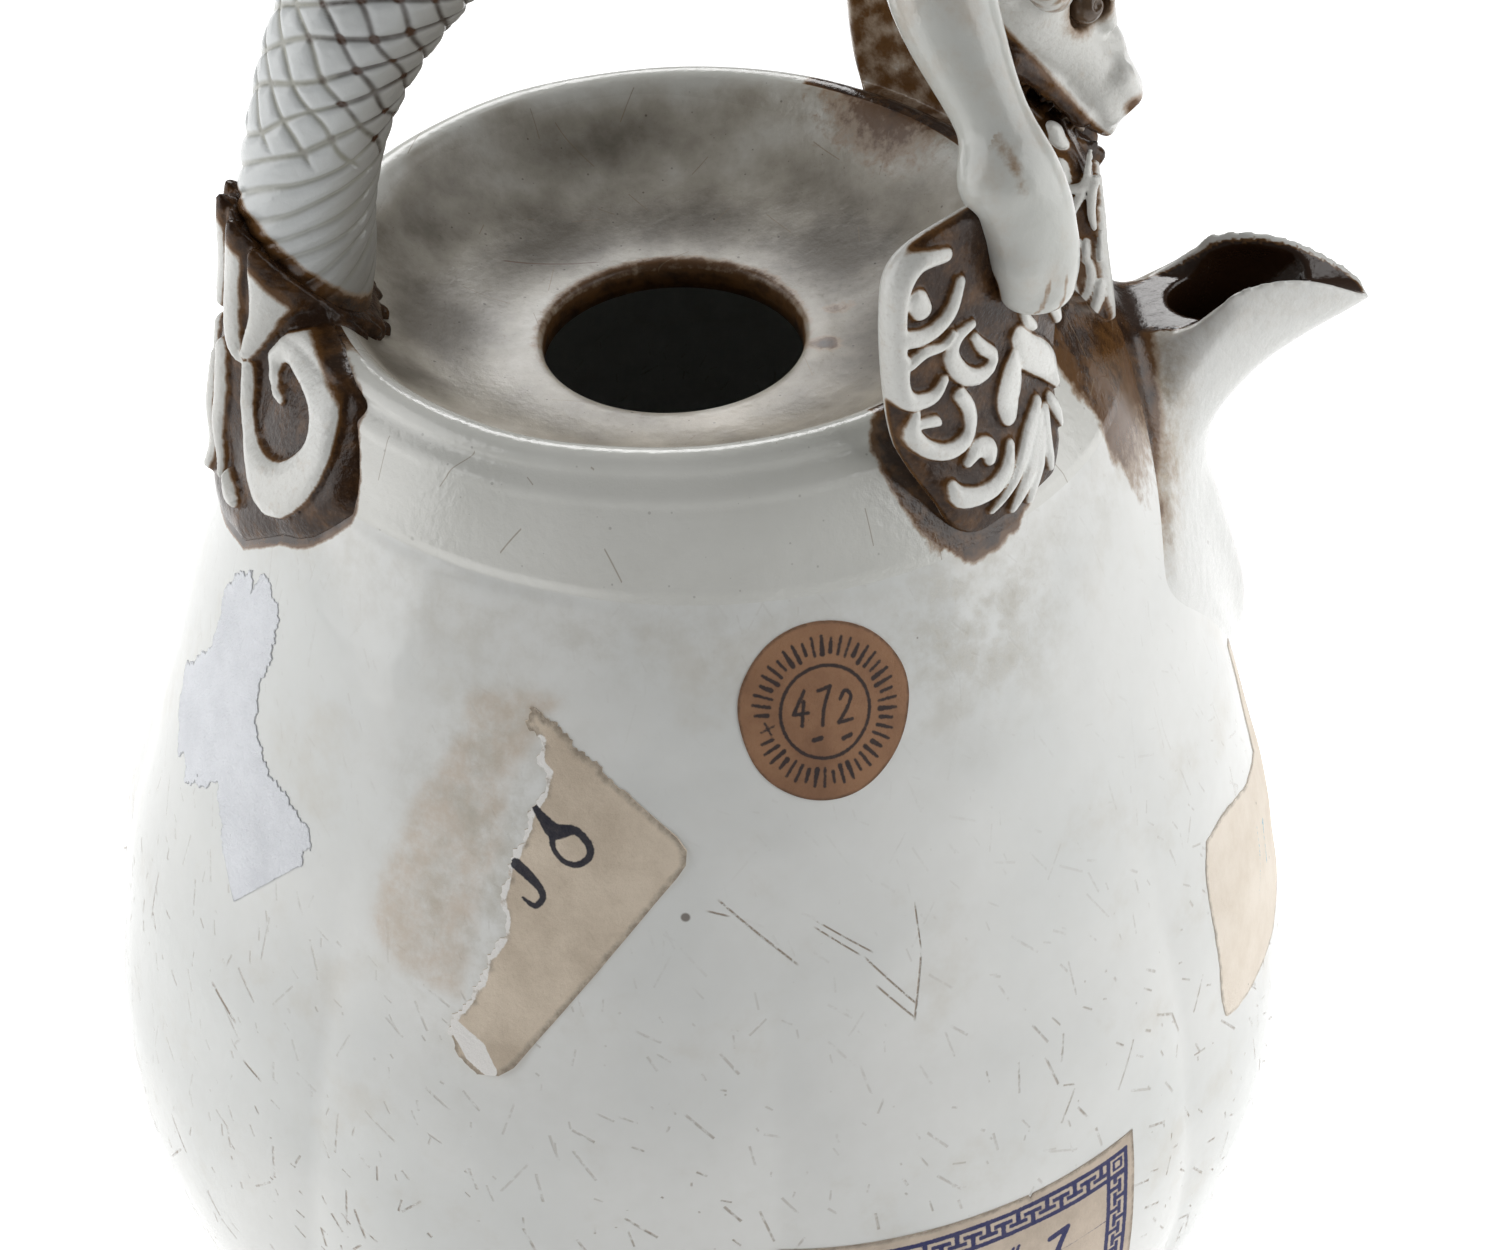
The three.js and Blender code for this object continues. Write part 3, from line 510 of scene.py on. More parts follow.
def dish_paint():
    paint = Paint("dish_glaze_looks", (0.7, 0.7, 0.665), (0.6, 0.605, 0.57))
    soil_and_shade = paint.mark("soil_and_shade")
    paint.lay(paint.mark("tan") * 0.65, (0.5, 0.41, 0.3))
    # Grime and painted shade darken the bowl
    cloud = (paint.noise(0.13, 5.0, 0.6, 12) - 0.5) * paint.ramp(soil_and_shade, 0.0, 0.15)
    level = soil_and_shade + cloud * 1.3
    paint.lay(paint.ramp(level, 0.0, 0.5) * 0.65, (0.31, 0.268, 0.205))
    paint.lay(paint.ramp(level, 0.3, 1.05) * 0.88, (0.085, 0.069, 0.047))
    grain = paint.patches(0.56, 0.72, 2.6, 4.0, 0.8, 13)
    paint.lay(grain * (level * 0.5), (0.09, 0.07, 0.05))
    pits = paint.most(paint.specks(1.1, 0.17, 0.6, 21), paint.specks(5.0, 0.5, 0.3, 22))
    paint.lay(pits * (level * 0.75 + 0.25), (0.05, 0.035, 0.022))
    paint.wash(0.8, 0.7)
    paint.lay(paint.scratches(paint.place, 6.0, 2.6, 0.07, 0.5, 5) * 0.55, (0.22, 0.16, 0.1))
    paint.lay(paint.drawn_line(paint.place, *DISH_HAIRLINE), (0.1, 0.05, 0.025))
    return paint.finish(grain * 0.2 + (soil_and_shade * 0.42 + 0.13), paint.noise(0.9, 4.0, 0.6, 2), 0.08)


def relief_paint(name):
    """Off-white ridges on an iron-brown ground."""
    paint = Paint(name, (0.72, 0.725, 0.7), (0.6, 0.6, 0.57))
    paint.lay(paint.patches(0.55, 0.8, 0.7, 4.0, 0.6, 8) * 0.35, (0.42, 0.32, 0.22))
    full = paint.wash(0.35, 1.3)
    paint.lay(paint.patches(0.5, 0.75, 2.5, 4.0, 0.7, 17) * 0.2, (0.2, 0.13, 0.09))
    # The wash has less gloss than the bare glaze
    paint.feed(paint.shader.inputs["Specular IOR Level"], paint.blend(full, 0.5, 0.22))
    return paint.finish(paint.noise(1.0, seed=1) * 0.12 + 0.14, paint.noise(1.3, 3.0, 0.55, 14), 0.1)


def scale_paint():
    """Pale scales with green-grey lines, black-brown where the soot mark is high, painted shade towards the
    dish.
    """
    paint = Paint("scale_glaze_looks", (0.6, 0.625, 0.63), (0.5, 0.52, 0.52))
    soot = paint.mark("soot")
    paint.lay(soot * 0.4, (0.33, 0.34, 0.34))
    # Painted shadow of the dish on the handle's inner side
    paint.lay(paint.mark("dish_shadow") * 0.62, (0.2, 0.18, 0.145))
    patch = soot + (paint.noise(0.3, 3.0, 0.6, 22) - 0.5)
    line_tone = paint.mix(paint.ramp(patch, 0.15, 0.75), (0.27, 0.265, 0.215), (0.035, 0.022, 0.014))
    paint.lay(paint.mark("line") * (paint.noise(0.5, 3.0, 0.6, 23) * 0.6 + 0.5), line_tone)
    pooled = paint.ramp(paint.mark("pool") * paint.noise(0.45, 2.0, 0.5, 28), 0.3, 0.5)
    paint.lay(pooled * paint.ramp(patch, 0.0, 0.4), (0.05, 0.022, 0.01))
    paint.wash(0.5, 1.0)
    return paint.finish(paint.noise(0.9, seed=1) * 0.12 + 0.16, paint.noise(1.1, 3.0, 0.55, 24), 0.08)


def limb_paint():
    paint = Paint("limb_glaze_looks", (0.64, 0.645, 0.62), (0.52, 0.53, 0.5))
    paint.lay(paint.patches(0.45, 0.75, 0.2, 5.0, 0.65, 18) * 0.5, (0.46, 0.37, 0.28))
    paint.wash(0.5, 0.8)
    return paint.finish(paint.noise(0.9, seed=1) * 0.1 + 0.13, paint.noise(0.7, 3.0, 0.55, 24), 0.08)


def spout_paint():
    paint = Paint("spout_glaze_looks", (0.7, 0.705, 0.685), (0.61, 0.62, 0.6))
    pits = paint.most(paint.specks(4.0, 0.4, 0.35, 41), paint.specks(11.0, 0.9, 0.4, 42))
    paint.lay(pits * 0.75, (0.12, 0.07, 0.04))
    # Soil, with painted shade in the crease next to the wall
    soil_and_shade = paint.mark("soil_and_shade") * paint.noise(0.8, 4.0, 0.7, 15)
    paint.lay(paint.ramp(soil_and_shade, 0.1, 0.6), (0.4, 0.33, 0.24))
    paint.wash(0.6, 0.6)
    return paint.finish(soil_and_shade * 0.3 + 0.13, paint.noise(0.5, 4.0, 0.6, 19), 0.15)


def clay_paint():
    paint = Paint("unglazed_foot_looks")
    paint.colour = paint.mix(paint.noise(0.3, 5.0, 0.7), (0.74, 0.69, 0.6), (0.5, 0.42, 0.32))
    paint.lay(paint.specks(1.1, 0.18, 0.4, 3) * 0.6, (0.24, 0.17, 0.11))
    return paint.finish(paint.noise(1.5) * 0.2 + 0.65, paint.noise(2.2, 5.0, 0.7), 0.25)


def iron_paint():
    paint = Paint("iron_brown_looks")
    paint.colour = paint.mix(paint.noise(0.9, 4.0, 0.6), (0.16, 0.1, 0.06), (0.03, 0.02, 0.012))
    return paint.finish(0.12, paint.noise(1.5), 0.05)


def paper_paint(name, light, dark, ink, fibre=0.35):
    """Old paper with ink where the ink mark is above zero, a soiled edge and bare white fibres."""
    paint = Paint(name)
    paint.colour = paint.mix(paint.patches(0.3, 0.75, 0.16, 5.0, 0.65, 4), light, dark)
    strands = paint.patches(0.45, 0.75, 3.5, 4.0, 0.8, 6)
    paint.lay(strands * 0.18, dark)
    grime = tuple(0.5 * c for c in dark)
    paint.lay(paint.specks(2.4, 0.2, 0.3, 8), grime)
    paint.lay(paint.ramp(paint.mark("edge") * paint.noise(0.9, 4.0, 0.7, 8), 0.15, 0.7), grime)
    bare = paint.mark("bare") + paint.noise(1.6, 4.0, 0.7, 3) * 0.8
    paint.lay(paint.ramp(bare, 0.7, 1.0), (0.84, 0.82, 0.79))
    worn = (paint.noise(3.0, 3.0, 0.7) - 0.5) * 0.22
    printed = paint.ramp(paint.mark("ink") + worn, -0.07, 0.07)
    paint.lay(printed * paint.blend(paint.noise(0.8, 3.0, 0.7), 0.9, 1.05), ink)
    return paint.finish(strands * 0.15 + 0.7, paint.noise(2.4, 5.0, 0.75, 5), fibre * 0.3)


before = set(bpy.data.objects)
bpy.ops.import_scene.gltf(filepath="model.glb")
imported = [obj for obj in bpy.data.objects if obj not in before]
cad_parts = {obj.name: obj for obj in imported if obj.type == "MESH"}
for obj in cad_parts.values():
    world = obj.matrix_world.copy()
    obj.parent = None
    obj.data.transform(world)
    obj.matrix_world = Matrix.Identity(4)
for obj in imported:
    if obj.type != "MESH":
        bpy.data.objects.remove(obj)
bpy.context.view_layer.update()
scene = bpy.context.scene

camera = bpy.data.objects.new("camera", bpy.data.cameras.new("camera"))
scene.collection.objects.link(camera)
camera.location = (-0.0355, -0.2762, 0.3173)
camera.rotation_euler = (math.radians(51.53), 0, math.radians(-8))
camera.data.lens = 83.5
camera.data.sensor_width = 36
camera.data.sensor_fit = "HORIZONTAL"
camera.data.clip_start = 0.01
scene.camera = camera
scene.view_settings.view_transform = "Standard"

body_glaze = body_paint()
dish_glaze = dish_paint()
relief_glaze = relief_paint("relief_glaze_looks")
head_glaze = relief_paint("head_glaze_looks")
scale_glaze = scale_paint()
limb_glaze = limb_paint()
spout_glaze = spout_paint()
foot_clay = clay_paint()
iron_brown = iron_paint()
brown_card = paper_paint("brown_card_looks", (0.31, 0.16, 0.08), (0.2, 0.095, 0.045), (0.018, 0.008, 0.008))
cream_paper = paper_paint("cream_paper_looks", (0.7, 0.6, 0.48), (0.52, 0.43, 0.33), (0.004, 0.004, 0.016))
pale_paper = paper_paint("pale_paper_looks", (0.86, 0.78, 0.68), (0.76, 0.67, 0.56), (0.2, 0.48, 0.62))
white_paper = paper_paint("white_paper_looks", (0.87, 0.89, 0.93), (0.76, 0.78, 0.82), (0.5, 0.5, 0.5), 0.8)
blue_paper = paper_paint("bordered_paper_looks", (0.62, 0.52, 0.42), (0.46, 0.38, 0.3), (0.012, 0.016, 0.1))


# Body


def soft_spots(degrees, level, rows, reach=None):
    """The strongest of some soft spots. A row is strength, degrees, level and its spread both ways."""
    best = 0.0
    for strength, middle, at, wide, tall in rows:
        gap = np.radians((degrees - middle + 180) % 360 - 180) * (reach or at)
        best = np.maximum(best, strength * np.exp(-((gap / wide) ** 2) - ((level - at) / tall) ** 2))
    return best


WASH_SPOTS = [(0.3, -10, 106, 3, 5), (0.35, 0, 90, 6, 3)]
# Soil and painted shade on the wall: stains by the torn label, the leg plaque and the spout, a band of
# painted shade under the collar, and a band darker near the foot
SOIL_AND_SHADE_SPOTS = [
    (0.8, -120, 107, 8, 17), (0.9, -62, 125, 12, 8), (0.6, 0, 115, 14, 14), (0.35, 0, 128, math.inf, 4),
    (0.5, 0, 9, math.inf, 6),
]
LEG_STAIN = [
    (-66, 143), (-70, 141.3), (-69.9, 138.4), (-68.6, 136.3), (-66.7, 134), (-65.4, 132.2), (-62, 130.7),
    (-59.2, 130.1), (-55.7, 130.4), (-50.7, 132.1), (-47.1, 134), (-43, 138), (-43, 142.5), (-55, 144),
]
RESIDUE = [
    (-123.6, 121.1), (-115.8, 123.1), (-112.5, 122.4), (-117, 116), (-118, 108), (-120, 100),
    (-120.5, 93.2), (-127.1, 93.5), (-130.8, 96.2), (-131, 102), (-127, 112.2), (-123.1, 118.2),
]
# The crease between wall and spout, up to the beak's back edge
CREASE_HEIGHTS, CREASE_DEGREES = [100, 106.5, 117, 125.7, 132.7, 137], [16, 20, 24.9, 28.5, 30.5, 17.4]


def stains(points):
    """Brown wash on the wall round the outlines of the plaques."""
    x, y, z = points.T
    wash = np.zeros(len(points))
    azimuth, mouth_azimuth = np.arctan2(y, x), np.arctan2(y, x - MOUTH_SHIFT)
    high = z > 108

    def add(some, amount):
        wash[some] = np.maximum(wash[some], amount)

    some = high & (np.cos(mouth_azimuth - FAR_PLAQUE) > 0.6)
    t = np.sin(mouth_azimuth[some] - FAR_PLAQUE) * np.hypot(x - MOUTH_SHIFT, y)[some]
    gap = outline_distance(t, z[some] + 0.5, path(mirrored(LEG_OUTLINE), 60, closed=True))
    add(some, smooth(gap, 2.0, 0.2))
    some = high & (y < -15)
    corners = [(math.radians(a) * STAIN_REACH, up) for a, up in LEG_STAIN]
    gap = outline_distance(azimuth[some] * STAIN_REACH, z[some], corners)
    add(some, smooth(gap + 0.5 * ripple(points[some], 1.3), 0.9, -0.7))
    turn, up = np.abs(np.degrees(azimuth[high])), z[high]
    crease = np.interp(up, CREASE_HEIGHTS[:-1], CREASE_DEGREES[:-1]) - 1.4 * ripple(points[high], 1.8)
    add(high, 0.95 * smooth(turn + 2.5 * ripple(points[high], 2.2), 34, 27) * smooth(up, 132, 137))
    add(high, 0.75 * smooth(turn - crease, 2.4, -0.2) * smooth(up, 115, 134))
    some = high & (x - MOUTH_SHIFT < -25)
    gap = outline_distance((np.pi - np.abs(mouth_azimuth[some])) * TAIL_REACH, z[some] + 0.6, tail_region())
    add(some, smooth(gap, 0.4, -0.5))
    return wash


def make_body():
    heights = np.concatenate([np.linspace(FOOT_HEIGHT, 118, 230), np.linspace(118.5, GROOVE_HEIGHT, 40)])
    outer = np.stack([outer_radius(heights), heights], 1)
    under = [[outer_radius(z) - gap, z] for z, gap in ((131.5, 0.02), (131.9, 0.12), (132.4, 0.5))]
    outer = np.vstack([outer, under])
    inner = [[r - WALL, z] for r, z in outer[::-6] if z > CAVITY_FLOOR + 2]
    profile = np.vstack([outer, inner, [[inner[-1][0] - 5, CAVITY_FLOOR]]])
    segments, rows = 400, len(profile)
    r, a, z = turned(profile, segments)
    outside = (np.arange(rows) < len(outer))[:, None]
    points = polar(r * lobes(a, z) + np.where(outside, uneven(a, z) - groove_depth(a, z), 0), a, z)
    count = rows * segments
    faces = [
        grid_faces(rows, segments), cap_faces(np.arange(segments), count, flip=True),
        cap_faces(np.arange(count - segments, count), count + 1),
    ]
    degrees, height = np.degrees(a.ravel()), z.ravel()
    wash = np.maximum(stains(points), soft_spots(degrees, height, WASH_SPOTS, SPOT_REACH))
    # Soil spots, with painted shade under the collar
    soil_and_shade = soft_spots(degrees, height, SOIL_AND_SHADE_SPOTS, SPOT_REACH)
    tan = np.zeros(count)
    some = (points[:, 1] < -20) & (height > 85)
    around = np.arctan2(points[:, 1], points[:, 0])[some] * WALL_REACH
    gap = outline_distance(around, height[some], [on_wall(*place) for place in RESIDUE])
    tan[some] = smooth(gap + 0.5 * ripple(points[some], 1.7), 0.9, -0.9)
    points = np.vstack([points, [[0, 0, FOOT_HEIGHT], [0, 0, CAVITY_FLOOR]]])
    marks = {key: np.append(mark, [0, 0]) for key, mark in (("wash", wash), ("soil_and_shade", soil_and_shade), ("tan", tan))}
    build("body_skin", points, faces, body_glaze, ("lower_body", "upper_body"), marks)


# Painted shade and grime in the dish: strength, degrees, radius and spread both ways
DISH_SHADES = [
    (1.1, 172, 23, 9, 6), (0.9, 196, 27, 5, 4), (0.95, 125, 19, 13, 5), (0.9, 75, 18, 13, 5),
    (0.55, 95, 28, 10, 3), (0.6, 140, 27, 6, 4), (0.95, 30, 20, 11, 7), (1.0, -15, 22, 12, 8),
    (0.5, -60, 22, 12, 7), (0.45, -110, 19, 16, 5),
]
DISH_CHIPS = [(0.9, -18, 14.6, 1.2, 1.7), (0.55, 4, 16, 1.2, 2)]


def make_mouth():
    dish = [
        [0.25, 0.455], [0.44, 0.75], [0.65, 0.92], [0.8, 0.985], [0.9, 0.995], [0.96, 1.01], [0.99, 1.045],
    ]
    collar = [knot for knot in spline(rim_knots, np.linspace(0, 1, 14)) if knot[1] < 139.4]
    lip = [
        [35.2, 140.3], [34.75, 141.1], [34.1, 141.7], [33.2, 142.0], [32.2, 141.8], [31.3, 141.1],
        [30.4, 140.0],
    ]
    knots = collar + lip + [[lerp(RIM_RADIUS, HOLE_RADIUS, u), RIM_HEIGHT - DISH_DEPTH * v] for u, v in dish]
    knots += [[HOLE_RADIUS - 0.05, RIM_HEIGHT - DISH_DEPTH * 1.14]]
    line = path(knots, 260)
    start = [[outer_radius(z) - gap, z] for z, gap in
             ((130.2, 0.5), (130.7, 0.12), (131.1, 0.02), (GROOVE_HEIGHT, 0), (131.6, 0), (131.95, 0))]
    under = [[HOLE_RADIUS, 129.2], [16.5, 128.9], [20, 129.7], [24.4, 131.4], [30, 132.2],
             [34.5, 131.9], [COLLAR_RADIUS - WALL, GROOVE_HEIGHT]]
    profile = np.vstack([start, line, spline(under, np.linspace(0, 1, 20))])
    outside = (np.arange(len(profile)) < 120) & (profile[:, 0] > RIM_RADIUS)
    segments = 400
    r, a, z = turned(profile, segments)
    faint = 0.06 * np.exp(-(((z - 138.6) / 0.5) ** 2)) * np.exp(-(((a - 4.75) / 0.5) ** 4))
    r = r - np.where(outside[:, None], groove_depth(a, z) + faint, 0)
    waves = np.sin(2 * a + 0.4) * 0.14 + np.sin(5 * a + 1.1) * 0.08 + np.sin(11 * a) * 0.03
    fade = smooth(z, 133, 141)
    dips = 0.12 * np.sin(3 * a + 2) + 0.05 * np.sin(7 * a) + 0.03 * np.sin(13 * a + 1)
    points = polar(r + waves * fade, a, z + dips * fade)
    faces = grid_faces(len(profile), segments, close_rows=True)
    x, y, height = points.T
    radius, azimuth = np.hypot(x, y), np.arctan2(y, x)
    degrees = np.degrees(azimuth)
    points = tilt_mouth(points)
    inside = (np.repeat(np.arange(len(profile)), segments) > 100) & (radius < 33.4)
    bowl = smooth(radius, 33.4, 29.5)
    # The bowl's grime, with painted shade where the dish's spots lie
    soil_and_shade = np.where(inside, bowl * (0.34 + 0.66 * soft_spots(degrees, radius, DISH_SHADES)), 0.04)
    tan = np.where(inside, 0.9 * np.exp(-(((degrees + 80) / 85) ** 2)) * bowl * smooth(radius, 12, 15), 0)
    ring = np.exp(-(((radius - 12.9) / 0.9) ** 2)) * (0.35 + 0.3 * np.sin(azimuth))
    wash = np.where(inside, np.maximum(ring, soft_spots(degrees, radius, DISH_CHIPS)), 0)
    wash = np.maximum(wash, np.where(radius < 12.8, 0.85 * smooth(height, 132.6, 130.6), 0))
    wash = np.where(inside, wash, np.maximum(wash, stains(points)))
    # Painted shade on the bowl's wall beside the far plaque, laid as brown wash and as grime
    shade = np.exp(-(((degrees - 41) / 15) ** 2)) * smooth(radius, 25, 33) * inside
    marks = {"wash": np.maximum(wash, shade * 0.75), "soil_and_shade": np.maximum(soil_and_shade, shade), "tan": tan}
    build("mouth_skin", points, [faces], dish_glaze, ("mouth_dish",), marks)


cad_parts["foot_ring"].material_slots[0].material = foot_clay


# Spout

SPOUT_BACK, SPOUT_FOOT, SPOUT_DEPTH = 132.7, 88.5, 26.2
SPOUT_ROOT = 40.78
CHANNEL_MOUTH = 53.98
SPOUT_LEVELS = [
    [0, -0.025, 0.05, 0.12], [0.05, 0.049, 0.14, 0.25], [0.11, 0.093, 0.27, 0.38], [0.2, 0.119, 0.42, 0.52],
    [0.32, 0.121, 0.62, 0.72], [0.46, 0.119, 0.85, 0.9], [0.58, 0.128, 1, 1], [0.68, 0.217, 0.97, 0.92],
    [0.76, 0.406, 0.84, 0.8], [0.84, 0.632, 0.68, 0.73], [0.92, 0.83, 0.52, 0.74], [1, 1, 0.35, 0.79],
]
CHANNEL = [
    [0, 0, 1, 1], [0, 0.15, 0.97, 0.97], [0.125, 0.33, 0.68, 0.92], [0.32, 0.515, 0.45, 1],
    [0.475, 0.68, 0.5, 1.08], [0.7, 0.83, 0.58, 1.18], [1, 1, 0.66, 1.28],
]


def beak_edge(x):
    u = np.clip((x - SPOUT_ROOT - 4.1) / (SPOUT_DEPTH - 4.1), 0, 1)
    return SPOUT_BACK - 1.8 * u * u + 3.5 * np.sin(np.pi * u)


def spout_rows(sides=110, levels=70):
    rows = []
    for level, depth, root, nose in spline(SPOUT_LEVELS, np.linspace(0, 1, levels)):
        level = float(np.clip(level, 0, 1))
        radius = outer_radius(lerp(SPOUT_FOOT, SPOUT_BACK, level))
        root, nose = 20 * max(root, 0.04), 9.5 * max(nose, 0.1)
        side = np.linspace(-1, 1, sides + 1)
        y = np.sign(side) * root * np.abs(side) ** 1.5
        bell = 1 / (1 + np.abs(y / nose) ** 3)
        edge = 1 / (1 + (root / nose) ** 3)
        x = np.sqrt(radius**2 - y**2) - 0.5 + (SPOUT_DEPTH * depth + 0.5) * (bell - edge) / (1 - edge)
        beside = np.clip((CHANNEL_MOUTH - x) / (CHANNEL_MOUTH - COLLAR_RADIUS), 0, 1)
        top = beak_edge(x) - 2.0 * (beside * side) ** 2
        rows.append(np.stack([x, y, lerp(SPOUT_FOOT, top, level)], -1))
    return np.array(rows)


def loft_distance(clay, rows):
    """Distances from a closed loft through rows of points, on the clay's own grid."""
    count, sides = rows.shape[:2]
    points = np.vstack([rows.reshape(-1, 3), rows[0].mean(0), rows[-1].mean(0)])
    faces = grid_faces(count, sides)
    low = cap_faces(np.arange(sides), count * sides, flip=True)
    high = cap_faces(np.arange((count - 1) * sides, count * sides), count * sides + 1)
    tris = np.vstack([faces[:, [0, 1, 2]], faces[:, [0, 2, 3]], low, high])
    cells = ((points - clay.low) / clay.step).astype(np.float32)
    transform = openvdb.createLinearTransform(voxelSize=1.0)
    grid = openvdb.FloatGrid.createLevelSetFromPolygons(
        cells, triangles=tris.astype(np.uint32), transform=transform, halfWidth=10.0
    )
    value = np.zeros(clay.size, np.float32)
    grid.copyToArray(value)
    return value * clay.step


def make_spout():
    clay = Clay((26, -23, 84), (66, 23, 140), 0.3)
    x, y, z = clay.axes()
    half = np.interp(x, [42, 44.5, 48.5, 52, 70], [1.8, 2.5, 4.3, 6.6, 9])
    flank = (np.abs(y) - half - 0.9 * np.clip(134 - z, 0, None)) * 0.74
    rows = spout_rows()
    wall = soft_max(loft_distance(clay, rows), flank, 1.2)
    # The same loft carried up past its rim, which keeps the channel off the rim
    shell = soft_max(loft_distance(clay, np.concatenate([rows, rows[-1:] + (0, 0, 6.0)])), flank, 1.2)
    rings = []
    turn = np.linspace(0, 2 * np.pi, 40, endpoint=False)
    for inward, down, long, wide in spline(CHANNEL, np.linspace(0, 1, 40)):
        along = lerp(CHANNEL_MOUTH, 34, inward) + 7.6 * long * np.cos(turn)
        rings.append(np.stack([along, 4.7 * wide * np.sin(turn), 0 * turn + 139.5 - 34.5 * down], -1))
    bore = soft_max(loft_distance(clay, np.array(rings)[:, ::-1]), shell + 1.2, 0.6)
    body = (np.hypot(x, y) - body_radius(np.arctan2(y, x), z)) * 0.96
    joined = soft_min(wall, body + 0.08, 3.0)
    for limit in (-(body + 1.4), wall - 2.6, z - (SPOUT_BACK + 5.5)):
        joined = np.maximum(joined, limit)
    clay.value = soft_max(joined, -bore, 0.5).astype(np.float32)
    points, quads = clay.surface()
    x, y, z = points.T
    cell = np.clip(np.round((points - clay.low) / clay.step).astype(int), 0, clay.size - 1)
    inner = smooth(-shell[tuple(cell.T)], 0.45, 1.15) * (x > 38)
    # Darker in the crease between spout and wall: painted shade, laid as wash and as soil
    crease = np.exp(-(((np.abs(y) - 13) / 3.5) ** 2)) * smooth(x, 50, 42) * smooth(z, 100, 112)
    knob = np.exp(-((x - 41.5) ** 2 + (y / 1.5) ** 2 + (z - 134) ** 2) / 16)
    past_crease = np.degrees(np.arctan2(y, x)) + np.interp(z, CREASE_HEIGHTS, CREASE_DEGREES)
    root = np.exp(-(((past_crease - 2) / 4.5) ** 2)) * smooth(z, 112, 126)
    bridge = np.maximum(
        smooth(x, 45.5, 42) * smooth(z, 118, 126),
        smooth(x, 50.5, 48) * smooth(z, 129.5, 131.5) * (np.abs(y) < 4.5),
    )
    wash = np.maximum.reduce([1.3 * inner, 0.4 * crease, 0.95 * knob, 0.95 * root, bridge])
    foot = smooth(x, 52, 43) * smooth(z, 106, 122)
    soil_and_shade = np.maximum.reduce([0.6 * crease, 0.35 * smooth(z, 128, 132), 0.8 * foot, np.full(len(x), 0.1)])
    build("spout_skin", points, [quads], spout_glaze, ("spout",), {"wash": wash, "soil_and_shade": soil_and_shade})


make_spout()


# Handle

HANDLE_REACH, HANDLE_RISE, NECK_ANGLE = 36.0, 46.0, math.radians(135)


def handle_at(angle):
    return np.array([-HANDLE_REACH * math.cos(angle), 0, RIM_HEIGHT + HANDLE_RISE * math.sin(angle)])


HANDLE_FOOT = np.array([-38.4, 0, 128.1])
handle_line = path([HANDLE_FOOT] + [handle_at(NECK_ANGLE * i / 12) for i in range(13)], 700)
handle_steps = np.concatenate([[0], np.cumsum(np.linalg.norm(np.diff(handle_line, axis=0), axis=1))])
HANDLE_RADII = np.array([6.3, 6.3, 8, 8, 6.6])
# Where the level scale lines cross the handle's near side, and the number of each
BAND_PLACES = [8, 13.2, 16.2, 19.2, 21.5, 24, 26.8, 30, 34.2, 38, 41.9, 45.9, 49.8]
BAND_NUMBERS = [-4, -2, -1, 0, 1, 2, 3, 4, 5, 6, 7, 8, 9]
BAND_GAP, STEEP_START, STEEP_GAP = 3.9, 30.3, 3.8


def handle_radius(share):
    at = np.asarray(share, float) * 4
    knot = np.minimum(np.floor(at), 3).astype(int)
    return lerp(HANDLE_RADII[knot], HANDLE_RADII[knot + 1], smooth(at - knot, 0, 1))


def above_plaque(x, z):
    """Distance above the slope in which the tail plaque ends under the handle."""
    return (x + 33.5) * 0.703 + (z - 141.8) * 0.711


